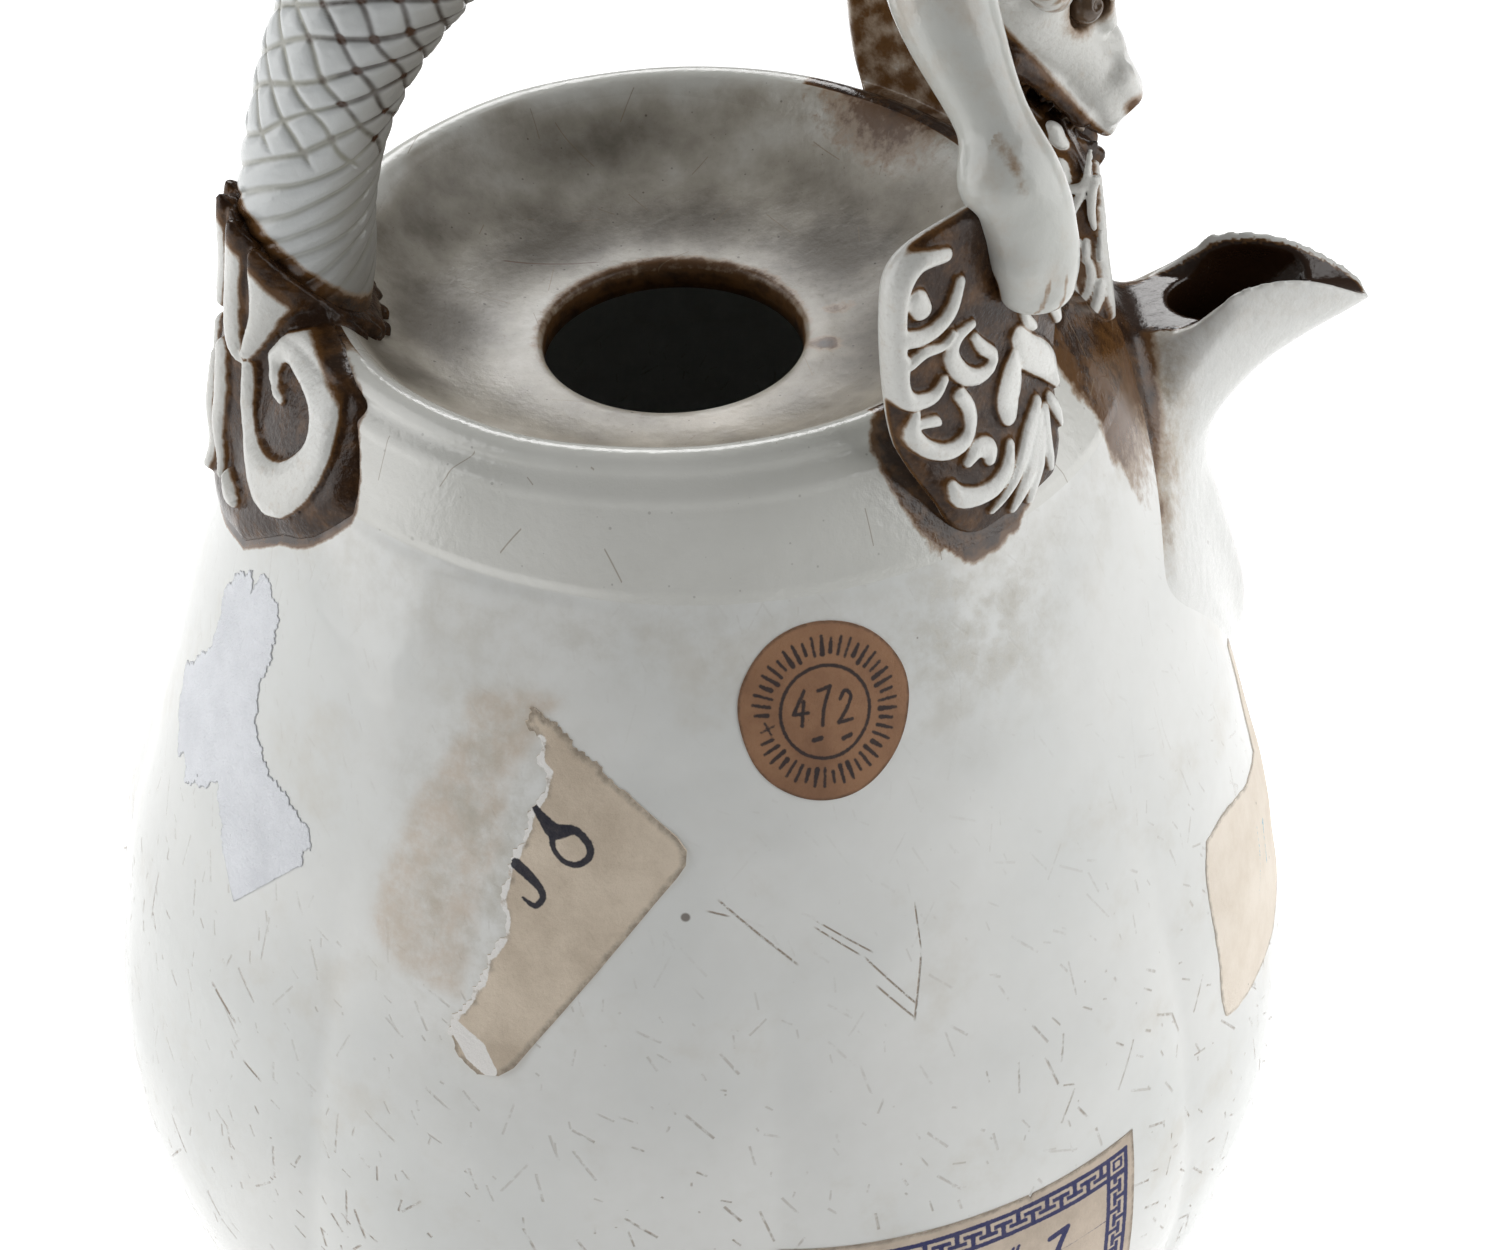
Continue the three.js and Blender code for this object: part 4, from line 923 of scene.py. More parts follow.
def make_handle():
    sides, rows = 300, 700
    tangent = np.gradient(handle_line, axis=0)
    tangent /= np.linalg.norm(tangent, axis=1)[:, None]
    side = np.array([0.0, -1.0, 0.0])
    out = np.cross(side, tangent)
    radius = handle_radius(handle_steps / handle_steps[-1])[:, None]
    turn = np.linspace(0, 2 * np.pi, sides, endpoint=False)[None, :]
    s = handle_steps[:, None] + 0 * turn
    # Two families of lines wind round the handle and cross each other, but for the lowest bands
    wind = (turn + np.pi) % (2 * np.pi) - np.pi - math.radians(17)
    wobble = 0.06 * np.sin(5 * turn + 0.5 * s) + 0.05 * np.sin(0.9 * s)
    last = BAND_PLACES[-1]
    bands = np.interp(s, BAND_PLACES, BAND_NUMBERS)
    bands = np.where(s > last, BAND_NUMBERS[-1] + (s - last) / BAND_GAP, bands)
    level = (bands + 8 * wind / (2 * np.pi) + wobble) % 1
    steep = ((s - STEEP_START) / STEEP_GAP - 9 * wind / (2 * np.pi) + wobble) % 1
    gap = np.clip(np.gradient(handle_steps) / np.maximum(np.gradient(bands[:, 0]), 1e-3), 2, 4)[:, None]
    lines_level = np.abs((level + 0.5) % 1 - 0.5) * gap * 0.8
    lines_steep = np.abs((steep + 0.5) % 1 - 0.5) * 3.0 + 3 * smooth(s, 30, 25)
    to_line = soft_min(lines_level, lines_steep, 0.35)
    height = 0.2 * smooth(to_line, 0.0, 1.0) - 0.14 * np.exp(-((to_line / 0.25) ** 2))
    r = (radius - 0.15 + height * smooth(s, 13, 18))[..., None]
    across = np.cos(turn)[..., None] * side + np.sin(turn)[..., None] * out[:, None, :]
    points = handle_line[:, None, :] + r * across
    points = points.reshape(-1, 3)
    x, _, z = points.T
    count = rows * sides
    faces = [
        grid_faces(rows, sides), cap_faces(np.arange(sides), count, flip=True),
        cap_faces(np.arange(count - sides, count), count + 1),
    ]
    if signed_volume(points, faces[0]) < 0:
        faces = [some[:, ::-1] for some in faces]
    degrees = np.degrees(wind)
    marks = {
        "line": smooth(to_line, 0.42, 0.08) * smooth(s, 13, 18) * (0.5 + 0.5 * smooth(s, 18, 32)),
        "soot": smooth(s - 0.12 * degrees, 33, 46) * smooth(degrees, 50, 10),
        "pool": np.exp(-((np.hypot(lines_level, lines_steep) / 0.8) ** 2)),
        # Painted shade on the side of the handle that faces the dish
        "dish_shadow": smooth(-np.sin(turn), -0.15, 0.75) * smooth(np.cos(turn), -0.9, 0.1) + 0 * s,
        "wash": 0.9 * smooth(above_plaque(x, z), 2.4, 0.4),
    }
    marks = {key: np.append(mark, [0, 0]) for key, mark in marks.items()}
    points = np.vstack([points, handle_line[0], handle_line[-1]])
    build("handle_skin", points, faces, scale_glaze, ("handle_body",), marks)


def signed_volume(points, quads):
    a, b, c, d = (points[quads[:, k]] for k in range(4))
    return float(np.einsum("ij,ij->", a, np.cross(b, c)) + np.einsum("ij,ij->", a, np.cross(c, d)))


make_handle()


# Relief plates round the mouth


def on_ring(azimuth, t, z, r):
    """A place at a tangential distance t from an azimuth, on a circle of radius r about the mouth."""
    reach = np.sqrt(np.maximum(r * r - t * t, 1e-6))
    x = MOUTH_SHIFT + reach * math.cos(azimuth) - t * math.sin(azimuth)
    return np.stack([x, reach * math.sin(azimuth) + t * math.cos(azimuth), z + 0 * t], -1)


def make_plate(name, azimuth, outline, strokes, face, back, piece, height=0.85, sides=(), thin=1.6,
               behind_wash=0.1):
    """A curved plate with a raised pattern of strokes on its outer face and bars on its sides."""
    corners = path(outline, 160, closed=True)
    low, high = corners.min(0) - 1.5, corners.max(0) + 1.5
    clay = Clay((low[0], low[1], -9), (high[0], high[1], 3.2), 0.22)
    t, z, n = clay.axes()
    flat_t, flat_z = np.broadcast_arrays(t[:, :, 0], z[:, :, 0])
    edge = outline_distance(flat_t, flat_z, corners)[:, :, None]
    lines = [curved_stroke(rows) for rows in strokes]
    ridge = np.zeros(flat_t.shape)
    for rows in lines:
        shape = ridge_shape(stroke_distance(flat_t, flat_z, rows), rows[:, 2].mean())
        ridge = np.maximum(ridge, height * shape)
    top = ridge[:, :, None] - 0.35
    bottom = (back(flat_z) - face(flat_z))[:, :, None]
    value = soft_max((n - top) * 0.8, bottom - n, 1.0)
    value = soft_max(value, edge + 0 * n, 1.3)
    value = soft_max(value, (-n - thin - 1.15 * np.maximum(-edge, 0)) * 0.65, 0.6)
    clay.value = value.astype(np.float32)
    bars = []
    for rows in sides:
        for sign in (-1, 1):
            bar = np.array([(sign * t, h, d, 0.8 * r) for t, h, d, r in rows])
            bars.append(path(bar, 12) if len(rows) > 2 else bar)
            clay.limb(bars[-1], 0.25)
    points, quads = clay.surface()
    u, v, depth = points.T
    wash = smooth(np.min([stroke_distance(u, v, rows) for rows in lines], axis=0), -0.26, 0.28)
    behind = smooth(depth, -0.9, -2.0)
    wash = wash * (1 - behind) + behind_wash * behind * (0.75 + 0.25 * ripple(points, 1.6))
    for rows in bars:
        for a, b in zip(rows[:-1], rows[1:]):
            wash = np.minimum(wash, smooth(bar_distance((u, v, depth), a, b), 0.05, 0.35))
    world = on_ring(azimuth, u, v, face(v) + depth)
    build(name, world, [quads], relief_glaze, (piece,), {"wash": wash})


def leg_face(z):
    return np.interp(z, [129, 135.5, 142.1, 162], [42.7, 42.1, 39.8, 38.9])


def leg_back(z):
    collar = np.minimum(outer_radius(np.minimum(z, RIM_HEIGHT - 0.2)) - 1.0, 36.0)
    return np.where(z < RIM_HEIGHT, collar, 35.6)


LEG_OUTLINE = [
    (-3, 163), (-7.5, 162), (-10, 159.5), (-10.6, 155), (-10.4, 149), (-9.8, 144), (-8.6, 140), (-7, 136.5),
    (-5.6, 133.5), (-3.5, 131.6), (0, 130.4), (4, 130), (7.5, 131.4), (9.3, 134), (10.2, 138), (11.4, 142),
    (12, 147), (11.6, 152), (9.5, 157), (5, 161), (1, 163),
]
LEG_STROKES = [
    [(-5.2, 160.6, 0.7), (-8.2, 160.6, 0.9), (-9.9, 158.2, 1.0), (-10.1, 154, 0.9), (-9.9, 150, 0.8)],
    [(-8.2, 157.2, 1.1), (-7.7, 156.2, 1.0)],
    [(-9.6, 153.9, 0.9), (-8, 153.5, 0.85), (-6.2, 153.8, 0.8), (-4.6, 155.0, 0.75), (-3.6, 157.4, 0.55)],
    [(-9.8, 151.6, 0.9), (-9.8, 149, 0.9), (-8.8, 147.4, 0.85), (-6.6, 147.1, 0.75), (-5.4, 148.3, 0.5)],
    [(-9.0, 151.2, 0.6), (-7.5, 151.9, 0.6), (-5.6, 151.8, 0.45), (-4.4, 152.6, 0.35)],
    [(-2.2, 152.6, 0.45), (-4, 152, 0.7), (-4.6, 150.4, 0.85), (-3.4, 148.2, 0.9), (-1.6, 147, 0.85),
     (0.0, 147.2, 0.75), (0.5, 148.3, 0.6), (-0.8, 149.6, 0.65), (-1.9, 151.2, 0.45)],
    [(-3.6, 146.1, 0.7), (-2.6, 144.4, 0.75), (-2.3, 142.4, 0.75), (-3.4, 141.2, 0.7), (-5.4, 141.1, 0.75),
     (-7.4, 142.2, 0.8), (-8.7, 144.1, 0.8), (-8.4, 145.9, 0.5)],
    [(-8.2, 144.9, 0.5), (-6.6, 144.6, 0.6), (-6.0, 144.2, 0.35)],
    [(1.8, 138.8, 0.55), (0.9, 137.2, 0.75), (-1, 136.2, 0.8), (-3.2, 136.2, 0.85), (-5.1, 136.9, 0.95),
     (-5.6, 138.0, 0.6)],
    [(-3.4, 139.4, 0.5), (-2.0, 140.1, 0.85), (-0.8, 139.6, 0.95), (-0.9, 138.8, 0.7)],
    [(3.4, 147.2, 0.4), (3.1, 145.4, 1.3), (2.8, 143.3, 1.7), (2.5, 141.4, 1.1)],
    [(3.9, 148.6, 0.9), (5.3, 146.4, 1.5), (7.4, 144.5, 1.6), (9.2, 142.6, 1.3), (10.2, 140.8, 0.7)],
    [(4.4, 151.2, 0.3), (5.2, 149.6, 0.6), (6.3, 148.4, 0.5)],
    [(8.3, 150.6, 0.7), (9.6, 149.2, 0.9), (10.8, 146.8, 0.6)],
    [(6.5, 140.6, 0.6), (4.6, 138.9, 0.8), (2.4, 136.7, 0.7), (0, 134.9, 0.5), (-1.8, 134, 0.25)],
    [(6.2, 139.6, 0.7), (4.4, 136.8, 1.0), (2.6, 134.5, 0.9), (1.0, 132.9, 0.4)],
    [(6.0, 138.2, 0.8), (4.6, 135.2, 0.9), (3.4, 132.8, 0.5)],
    [(7.2, 139.4, 0.7), (6.6, 136.6, 0.75), (6.8, 134.2, 0.35)],
    [(8.4, 140.0, 0.6), (9.2, 138.4, 0.7), (9.6, 136.9, 0.3)],
    [(10.4, 154.6, 0.9), (11.2, 151.2, 0.7), (11.5, 148.6, 0.4)],
]


def mirrored(rows):
    return [(-t, *rest) for t, *rest in rows]


make_plate("near_leg_plaque_skin", NEAR_LEG, LEG_OUTLINE, LEG_STROKES, leg_face, leg_back, "near_leg_plaque")
make_plate(
    "far_leg_plaque_skin", FAR_PLAQUE, mirrored(LEG_OUTLINE), [mirrored(rows) for rows in LEG_STROKES],
    leg_face, leg_back, "far_leg_plaque", behind_wash=0.7,
)


# Tail plaque, on the collar and round the handle's outer side

TAIL_EDGE = [
    (180, 154.2), (185.6, 153.9), (187.5, 153.5), (189.2, 152.5), (190.8, 150.8), (191.9, 149),
    (192.8, 147.2), (193.4, 145.4), (194, 143.6), (195.4, 142.2), (198, 141.6), (201, 141.5), (205, 141.4),
    (209.5, 141), (212.6, 139.9), (214, 138.1), (215.4, 136.9), (216.7, 135), (217.3, 133), (217, 131.2),
    (215.2, 129.8), (213.5, 128.6), (211, 127), (208.3, 125.8), (204.8, 124.8), (200, 122.4), (196, 120.4),
    (192.5, 119.9), (188, 119), (184, 118.6), (180, 118.5),
]
TAIL_STROKES = [
    [(197.2, 135.9, 0.3), (194.3, 136.0, 0.5), (192.3, 137.1, 0.7), (192.0, 138.8, 1.0), (194.4, 140.0, 1.5),
     (197.7, 140.2, 1.7), (202.0, 140.0, 1.8), (205.7, 139.1, 1.8), (208.1, 137.6, 1.9), (209.2, 135.7, 2.0),
     (208.5, 133.5, 2.1), (206.2, 131.2, 2.3), (203.0, 129.4, 2.4), (199.0, 128.9, 2.1), (195.2, 129.5, 1.5),
     (191.6, 130.6, 1.1), (189.6, 132.3, 0.9), (188.8, 134.4, 0.8), (188.3, 136.0, 0.6)],
    [(188.7, 149.2, 0.4), (189.1, 146.3, 0.9), (189.8, 143.9, 1.3), (189.4, 141.2, 1.0), (188.6, 139, 0.8),
     (187.9, 137.3, 0.5)],
    [(185.4, 152.0, 0.6), (185.2, 148.6, 1.0), (184.5, 143.9, 1.1), (184.9, 140.0, 1.1), (185.8, 137.7, 0.9),
     (187.0, 136.6, 0.5)],
    [(183.0, 136.0, 0.9), (184.0, 131.5, 0.9), (184.5, 127, 0.8), (187.0, 124, 0.5)],
    [(189.2, 124.8, 0.6), (191.8, 124.4, 0.9), (194.0, 124.4, 0.6)],
    [(180, 151, 0.6), (180, 146, 1.3), (180, 140, 0.7)],
    [(180, 134, 0.6), (180, 128, 1.2), (180, 121.5, 0.6)],
]


def tail_flat(rows):
    return [(math.radians(row[0] - 180) * TAIL_REACH, *row[1:]) for row in rows]


def tail_region():
    """The tail plaque's edge from the top to the bottom, closed on the other side of the handle."""
    return tail_flat(TAIL_EDGE) + [(-8, TAIL_EDGE[-1][1]), (-8, TAIL_EDGE[0][1])]


def handle_distance(at):
    """Distance from the handle's lower half."""
    rows = handle_line[:360:12]
    radii = handle_radius(np.linspace(0, 359 / 699, len(rows)))
    best = 99.0
    for a, b, ra, rb in zip(rows[:-1], rows[1:], radii[:-1], radii[1:]):
        best = np.minimum(best, bar_distance(at, (*a, ra), (*b, rb)))
    return best


def make_tail_plaque():
    clay = Clay((-49, -30, 116), (-27, 30, 157), 0.3)
    x, y, z = clay.axes()
    u, v = np.broadcast_arrays((np.pi - np.abs(np.arctan2(y, x - MOUTH_SHIFT))) * TAIL_REACH, z)
    share = np.clip((z - COLLAR_HEIGHT) / (RIM_HEIGHT - COLLAR_HEIGHT), 0, 1)
    radius = np.hypot(x - share * MOUTH_SHIFT, y)
    lowered = z - share * x * math.tan(MOUTH_TILT)
    brim = RIM_HEIGHT - 1.0
    above = np.hypot(np.maximum(radius - 35.2, 0), np.maximum(lowered - brim, 0))
    collar = np.where(lowered < brim, (radius - outer_radius(np.minimum(lowered, brim))) * 0.85, above)
    collar = np.where(radius < 33.2, 6.0, collar)
    under = soft_min(collar, handle_distance((x, y, z)), 2.0)
    region = outline_distance(u, v, tail_region())
    near = (np.abs(under - 1.6) < 1.6) & (region < 1)
    ridge = np.zeros(under.shape)
    lines = [curved_stroke(tail_flat(rows), 26) for rows in TAIL_STROKES]
    for rows in lines:
        form = ridge_shape(stroke_distance(u[near], v[near], rows), rows[:, 2].mean())
        ridge[near] = np.maximum(ridge[near], 0.95 * form)
    value = soft_max(under - (0.3 + 0.75 * smooth(-region, 0, 3.0) + ridge), region, 1.2)
    value = soft_max(value, above_plaque(x, z) + 0 * y, 1.0)
    clay.value = np.maximum(value, -(under + 0.9)).astype(np.float32)
    points, quads = clay.surface()
    x, y, z = points.T
    u = (np.pi - np.abs(np.arctan2(y, x - MOUTH_SHIFT))) * TAIL_REACH
    wash = smooth(np.min([stroke_distance(u, z, rows) for rows in lines], axis=0), -0.2, 0.25)
    wash = np.maximum(wash, smooth(above_plaque(x, z), -3.2, -1.2))
    build("tail_plaque_skin", points, [quads], relief_glaze, ("tail_plaque",), {"wash": wash})


make_tail_plaque()


# Forelegs

LEG_KNOTS = [
    [0.45, 0.4, 1], [0.75, 0.54, 0.99], [0.95, 0.69, 0.82], [1, 0.845, 0.655], [0.99, 0.945, 0.52],
    [0.96, 0.985, 0.39], [0.955, 0.995, 0.295],
]
LEG_RADII = [4.8, 4.9, 4.2, 3.0, 3.3, 3.0, 2.8]
LEG_SPREAD, LEG_RISE, LEG_ASIDE = 40, 42, 2.0
# Rows of tangential distance, height, distance from the mouth's axis and radius
PAW = [(1.8, 164.6, 38.2, 3.5), (3.4, 161.4, 39.0, 3.2)]
TOES = [(2.2, 154.2), (3.8, 153.4), (5.3, 155.0)]


def make_leg(piece, azimuth, side):
    rows = []
    for (turn, out, up), radius in zip(LEG_KNOTS, LEG_RADII):
        at, reach, aside = azimuth * turn, LEG_SPREAD * out, LEG_ASIDE * side * turn
        x = reach * math.cos(at) - aside * math.sin(azimuth)
        y = reach * math.sin(at) + aside * math.cos(azimuth)
        rows.append([x, y, RIM_HEIGHT + LEG_RISE * up, radius])
    rows = path(rows, 26)
    clay = Clay(rows[:, :3].min(0) - 9, rows[:, :3].max(0) + 9, 0.3)
    clay.limb(rows, 0.8)
    paws = [(PAW, 2.4)]
    for t, low in TOES:
        paws.append(([(0.6 * t + 1.2, 161, 39.5, 2.1), (t, 157.5, 40.4, 1.6), (t, low, 40.2, 1.1)], 2.2))
    for knots, blend in paws:
        clay.limb([(*on_ring(azimuth, np.array(side * t), z, float(r)), w) for t, z, r, w in knots], blend)
    # Below the paw's top, nothing reaches in to the rim
    x, y, z = clay.axes()
    inward = np.where(z < 158, 35.0 - np.hypot(x - MOUTH_SHIFT, y), -99.0)
    clay.value = np.maximum(clay.value, inward).astype(np.float32)
    points, quads = clay.surface()
    x, y, z = points.T
    reach = np.hypot(x - MOUTH_SHIFT, y)
    t = side * np.sin(np.arctan2(y, x - MOUTH_SHIFT) - azimuth) * reach
    foot = smooth(z, 158, 154) * smooth(reach, 40.2, 39.1)
    streak = (
        0.34 * np.exp(-(((t - 0.8) / 0.9) ** 2)) * smooth(z, 163, 167) * smooth(z, 175, 171) * (reach > 38)
    )
    gaps = np.min([np.abs(t - g) for g in (3.0, 4.6)], axis=0)
    between = 0.42 * smooth(gaps, 0.4, 0.1) * smooth(z, 157.6, 156.2) * (reach > 40.5)
    wash = np.maximum.reduce([foot, streak, between, 0.8 * smooth(reach, 36.5, 35.2) * smooth(z, 162, 156)])
    if side < 0:
        wash = np.maximum(wash, 0.75 * smooth(z, 168, 156) * (0.6 + 0.4 * ripple(points, 2.5)))
    build(piece + "_skin", points, [quads], limb_glaze, (piece,), {"wash": wash})


make_leg("near_foreleg", NEAR_LEG, 1)
make_leg("far_foreleg", FAR_LEG, -1)


# Dragon's head, in its own frame of along, outward and side

NECK_END = handle_at(NECK_ANGLE)
slope = np.array([HANDLE_REACH * math.sin(NECK_ANGLE), 0, HANDLE_RISE * math.cos(NECK_ANGLE)])
HEAD_ALONG = slope / np.linalg.norm(slope)
HEAD_OUT = np.array([-HEAD_ALONG[2], 0, HEAD_ALONG[0]])
HEAD_FRAME = np.array([HEAD_ALONG, HEAD_OUT, [0, 1, 0]])
HEAD_SIZE = np.array([25.5, 15.0, 16.0])
SKULL = [
    [0, 0, 0.4, 0.43], [0.16, -0.04, 0.475, 0.46], [0.33, -0.08, 0.5, 0.43], [0.5, -0.09, 0.41, 0.345],
    [0.62, -0.09, 0.35, 0.28], [0.74, -0.09, 0.325, 0.245], [0.86, -0.11, 0.325, 0.2],
    [0.95, -0.13, 0.275, 0.14], [1, -0.15, 0.15, 0.06],
]
JAW = [
    [0.31, -0.51, 0.2, 0.08], [0.47, -0.57, 0.275, 0.12], [0.7, -0.58, 0.288, 0.12],
    [0.9, -0.55, 0.27, 0.113], [1.06, -0.48, 0.225, 0.1], [1.12, -0.43, 0.125, 0.053],
]
TONGUE = [
    [0.5, -0.4, 0.1, 0.033], [0.7, -0.376, 0.15, 0.047], [0.86, -0.363, 0.14, 0.047],
    [0.98, -0.35, 0.075, 0.027],
]
# Rows of along, outward and side as shares of the head's size, and a radius
HORN = [(0.26, 0.3, 0.2, 1.9), (0, 0.52, 0.3, 1.5), (-0.24, 0.6, 0.4, 1.05), (-0.46, 0.59, 0.5, 0.5)]
EAR = [(0.3, 0.12, 0.42, 1.9), (0.16, 0.16, 0.6, 1.9), (-0.02, 0.22, 0.72, 0.6)]
EYE = (12.0, 2.85, 4.5)


def section_rows(shares, levels=40, sides=48):
    rows = []
    length, height, width = HEAD_SIZE
    turn = np.linspace(0, 2 * np.pi, sides, endpoint=False)
    for along, out, wide, high in spline(shares, np.linspace(0, 1, levels)):
        ring = [0 * turn + length * along, height * (out + high * np.sin(turn)), width * wide * np.cos(turn)]
        rows.append(np.stack(ring, -1))
    return np.array(rows)


def lofted(low, high, step, shares):
    """A block of clay with a loft of the head's sections in it."""
    clay = Clay(low, high, step)
    clay.value = loft_distance(clay, section_rows(shares)).astype(np.float32)
    return clay


def curved_bar(knots, side, count, margin):
    """Clay round a curved bar of the head, and the bar's rows."""
    rows = path([(*(HEAD_SIZE * (a, b, side * c)), r) for a, b, c, r in knots], count)
    return Clay(rows[:, :3].min(0) - margin, rows[:, :3].max(0) + margin, 0.25), rows


def both_sides(clay, knots, blend, cut=False):
    for side in (-1, 1):
        clay.limb([(a, b, side * c, r) for a, b, c, r in knots], blend, cut)


def head_piece(name, piece, clay, wash, material=None):
    points, quads = clay.surface()
    world = NECK_END + points @ HEAD_FRAME
    if signed_volume(world, quads) < 0:
        quads = quads[:, ::-1]
    build(name, world, [quads], material or head_glaze, (piece,), {"wash": wash(points)})


def head_wash(p):
    """Brown under the jaw line, in the eye's socket, at the nose and in the neck's locks."""
    a, b, c = p.T
    under = smooth(b, -2.6, -4.2)
    socket = 0.9 * np.exp(-(((a - 12) / 3) ** 2 + ((b - 2.8) / 3) ** 2 + ((np.abs(c) - 4.5) / 3) ** 2))
    nose = 0.8 * np.exp(-(((a - 24.2) / 1.4) ** 2 + ((b - 0.3) / 1.2) ** 2))
    locks = smooth(a, 4, 0.5) * (0.5 + 0.5 * ripple(p, 1.4, 2))
    return np.maximum.reduce([under, socket, nose, 0.8 * locks])


def make_head():
    clay = lofted((-5, -12, -12), (29, 12, 12), 0.3, SKULL)
    clay.limb([(-3, 0, 0, 6.2), (3, 0, 0, 6.0)], 2.0)
    brow = [(16, 3.2, 2.6, 0.9), (12, 4.6, 4.4, 1.2), (8, 4.6, 5.6, 1.1), (4.5, 3.4, 6.6, 0.8)]
    lip = [
        (25.2, -3.2, 2.5, 0.8), (21, -3.9, 4.6, 0.9), (16, -4.2, 5.4, 0.9), (11, -5.2, 6.2, 1.1),
        (8, -6.8, 6.4, 1.2),
    ]
    both_sides(clay, brow, 1.0)
    both_sides(clay, [(23.5, 0.2, 2.6, 1.5), (21.0, 0.9, 3.4, 1.5)], 1.2)
    both_sides(clay, [(24.6, 0.2, 2.7, 0.75), (22.8, 0.3, 3.0, 0.6)], 0.4, cut=True)
    both_sides(clay, lip, 0.9)
    clay.limb([(24.5, 0.4, 0, 1.3), (19, 1.2, 0, 1.2), (13, 2.2, 0, 1.1)], 2.2)
    for a, b, c in [(1.5, -4.8, 6.4), (0.5, -1.6, 7.2), (0.8, 1.8, 6.8), (3.5, -7.2, 5.6)]:
        lock = [(a + 4, b * 0.9, c - 0.4, 1.5), (a, b, c + 0.5, 1.1), (a - 3.4, b * 1.08, c + 0.6, 0.45)]
        both_sides(clay, lock, 0.6)
    for k in range(5):
        a, b, c = 21 - 3 * k, -4.1 - 0.3 * k, 2.9 + 0.5 * k
        both_sides(clay, [(a, b, c + 0.1, 0.75), (a, b - 1.5, c, 0.3)], 0.3)
    for side in (-1, 1):
        clay.ball(EYE * np.array([1, 1, side]), (2.4, 2.2, 2.2), 0.5, cut=True)
    head_piece("head_skin", "dragon_head", clay, head_wash)

    clay = lofted((4, -13, -8), (32, -3, 8), 0.3, JAW)
    edge = [(27.5, -5.6, 1.6, 0.8), (22, -7.0, 3.4, 0.8), (15, -7.6, 3.9, 0.8), (9, -6.9, 3.0, 0.7)]
    both_sides(clay, edge, 0.8)
    for k in range(5):
        a, c = 26 - 3.4 * k, 1.9 + 0.5 * min(k, 3)
        both_sides(clay, [(a, -6.4 - 0.25 * k, c, 0.7), (a + 0.2, -4.9 - 0.3 * k, c, 0.28)], 0.3)
    for c in (-2.4, 0, 2.4):
        strand = [(27, -7.8, 0.6 * c, 0.8), (22, -9.6, c, 0.9), (15, -10.4, 1.3 * c, 0.9), (9, -9.6, c, 0.6)]
        clay.limb(strand, 0.7)
    head_piece("jaw_skin", "lower_jaw", clay,
               lambda p: 0.72 + 0.3 * ripple(p, 1.6) + 0.2 * smooth(p[:, 1], -7.6, -6.8))

    clay = lofted((9, -8, -5), (28, -3, 5), 0.25, TONGUE)
    clay.limb([(14, -5.1, 0, 0.22), (24, -4.7, 0, 0.2)], 0.4, cut=True)
    head_piece("tongue_skin", "tongue", clay, lambda p: 0.55 + 0.2 * ripple(p, 1.5))

    for label, side in (("near", -1), ("far", 1)):
        clay, rows = curved_bar(HORN, side, 30, 3)
        rows[:, 3] *= 1 + 0.09 * np.sin(np.arange(30) * 1.6)
        clay.limb(rows, 0.3)
        head_piece(label + "_horn_skin", label + "_horn", clay,
                   lambda p: smooth(p[:, 0], 4, 1) * 0.3 + 0.35 * ripple(p, 1.1))
        clay, rows = curved_bar(EAR, side, 24, 4)
        clay.limb(rows, 0.3)
        hollow = [(*(row[:3] + (0.7, 1.1, side * 0.5)), row[3] * 0.62) for row in rows[6:22:5]]
        clay.limb(hollow, 0.4, cut=True)
        head_piece(label + "_ear_skin", label + "_ear", clay, lambda p: 0.3 + 0.3 * ripple(p, 1.3))
        eye = EYE * np.array([1, 1, side])
        clay = Clay(eye - (4, 3.85, 4), eye + (4, 4.15, 4), 0.15)
        clay.ball(eye, (1.75, 1.7, 1.7))
        clay.ball(eye + (0.3, 1.15, 1.4 * side), (0.6, 0.6, 0.6), 0.2, cut=True)
        head_piece(label + "_eye_skin", label + "_eye", clay, lambda p: 0 * p[:, 0],
                   iron_brown)


make_head()


# Beard plaque

BEARD_EDGE = [
    (-7.6, 133), (-8.4, 135), (-8.6, 140), (-8.2, 144), (-7.6, 148), (-7.0, 151), (-6.0, 154),
    (-3.5, 155.6), (0, 156),
]
BEARD_OUTLINE = BEARD_EDGE + mirrored(BEARD_EDGE[-2::-1]) + [(4, 132.8), (0, 132.7), (-4, 132.8)]
BEARD_STROKES = []
for side in (-1, 1):
    for rows in (
        [(6.9, 147, 0.4), (7.6, 143, 0.75), (7.7, 138.5, 0.8), (6.6, 134.6, 0.45)],
        [(5.0, 149.2, 0.4), (5.8, 145.5, 0.6), (5.4, 142.4, 0.45)],
        [(3.4, 149.6, 0.5), (3.7, 145, 0.75), (4.6, 140.4, 0.75), (4.4, 137.4, 0.6), (2.6, 136, 0.5),
        (1.6, 137, 0.3)],
        [(1.2, 149.6, 0.4), (1.3, 146, 0.7), (2.2, 142, 0.6), (2.0, 139.6, 0.4)],
        [(5.8, 140.4, 0.4), (6.0, 137.6, 0.6), (5.0, 134.4, 0.5), (3.4, 133.8, 0.3)],
        [(0, 143.5, 0.5), (0.1, 139, 0.7), (0.4, 134.6, 0.5)],
    ):
        BEARD_STROKES.append([(side * t, z, 0.78 * w) for t, z, w in rows])


def beard_face(z):
    return np.interp(z, [132, 136, 142, 150, 153, 156], [41.9, 41.4, 40.4, 39.3, 37.5, 35.5])


def beside(rows):
    """Side strokes from places along x and up on the plaque's flank."""
    places = []
    for x, z, r in rows:
        aside = 8.35 - 0.03 * abs(z - 142) - 0.3 * max(z - 148, 0)
        places.append((aside, z, math.hypot(x - MOUTH_SHIFT, 8.3) - float(beard_face(z)), r))
    return places


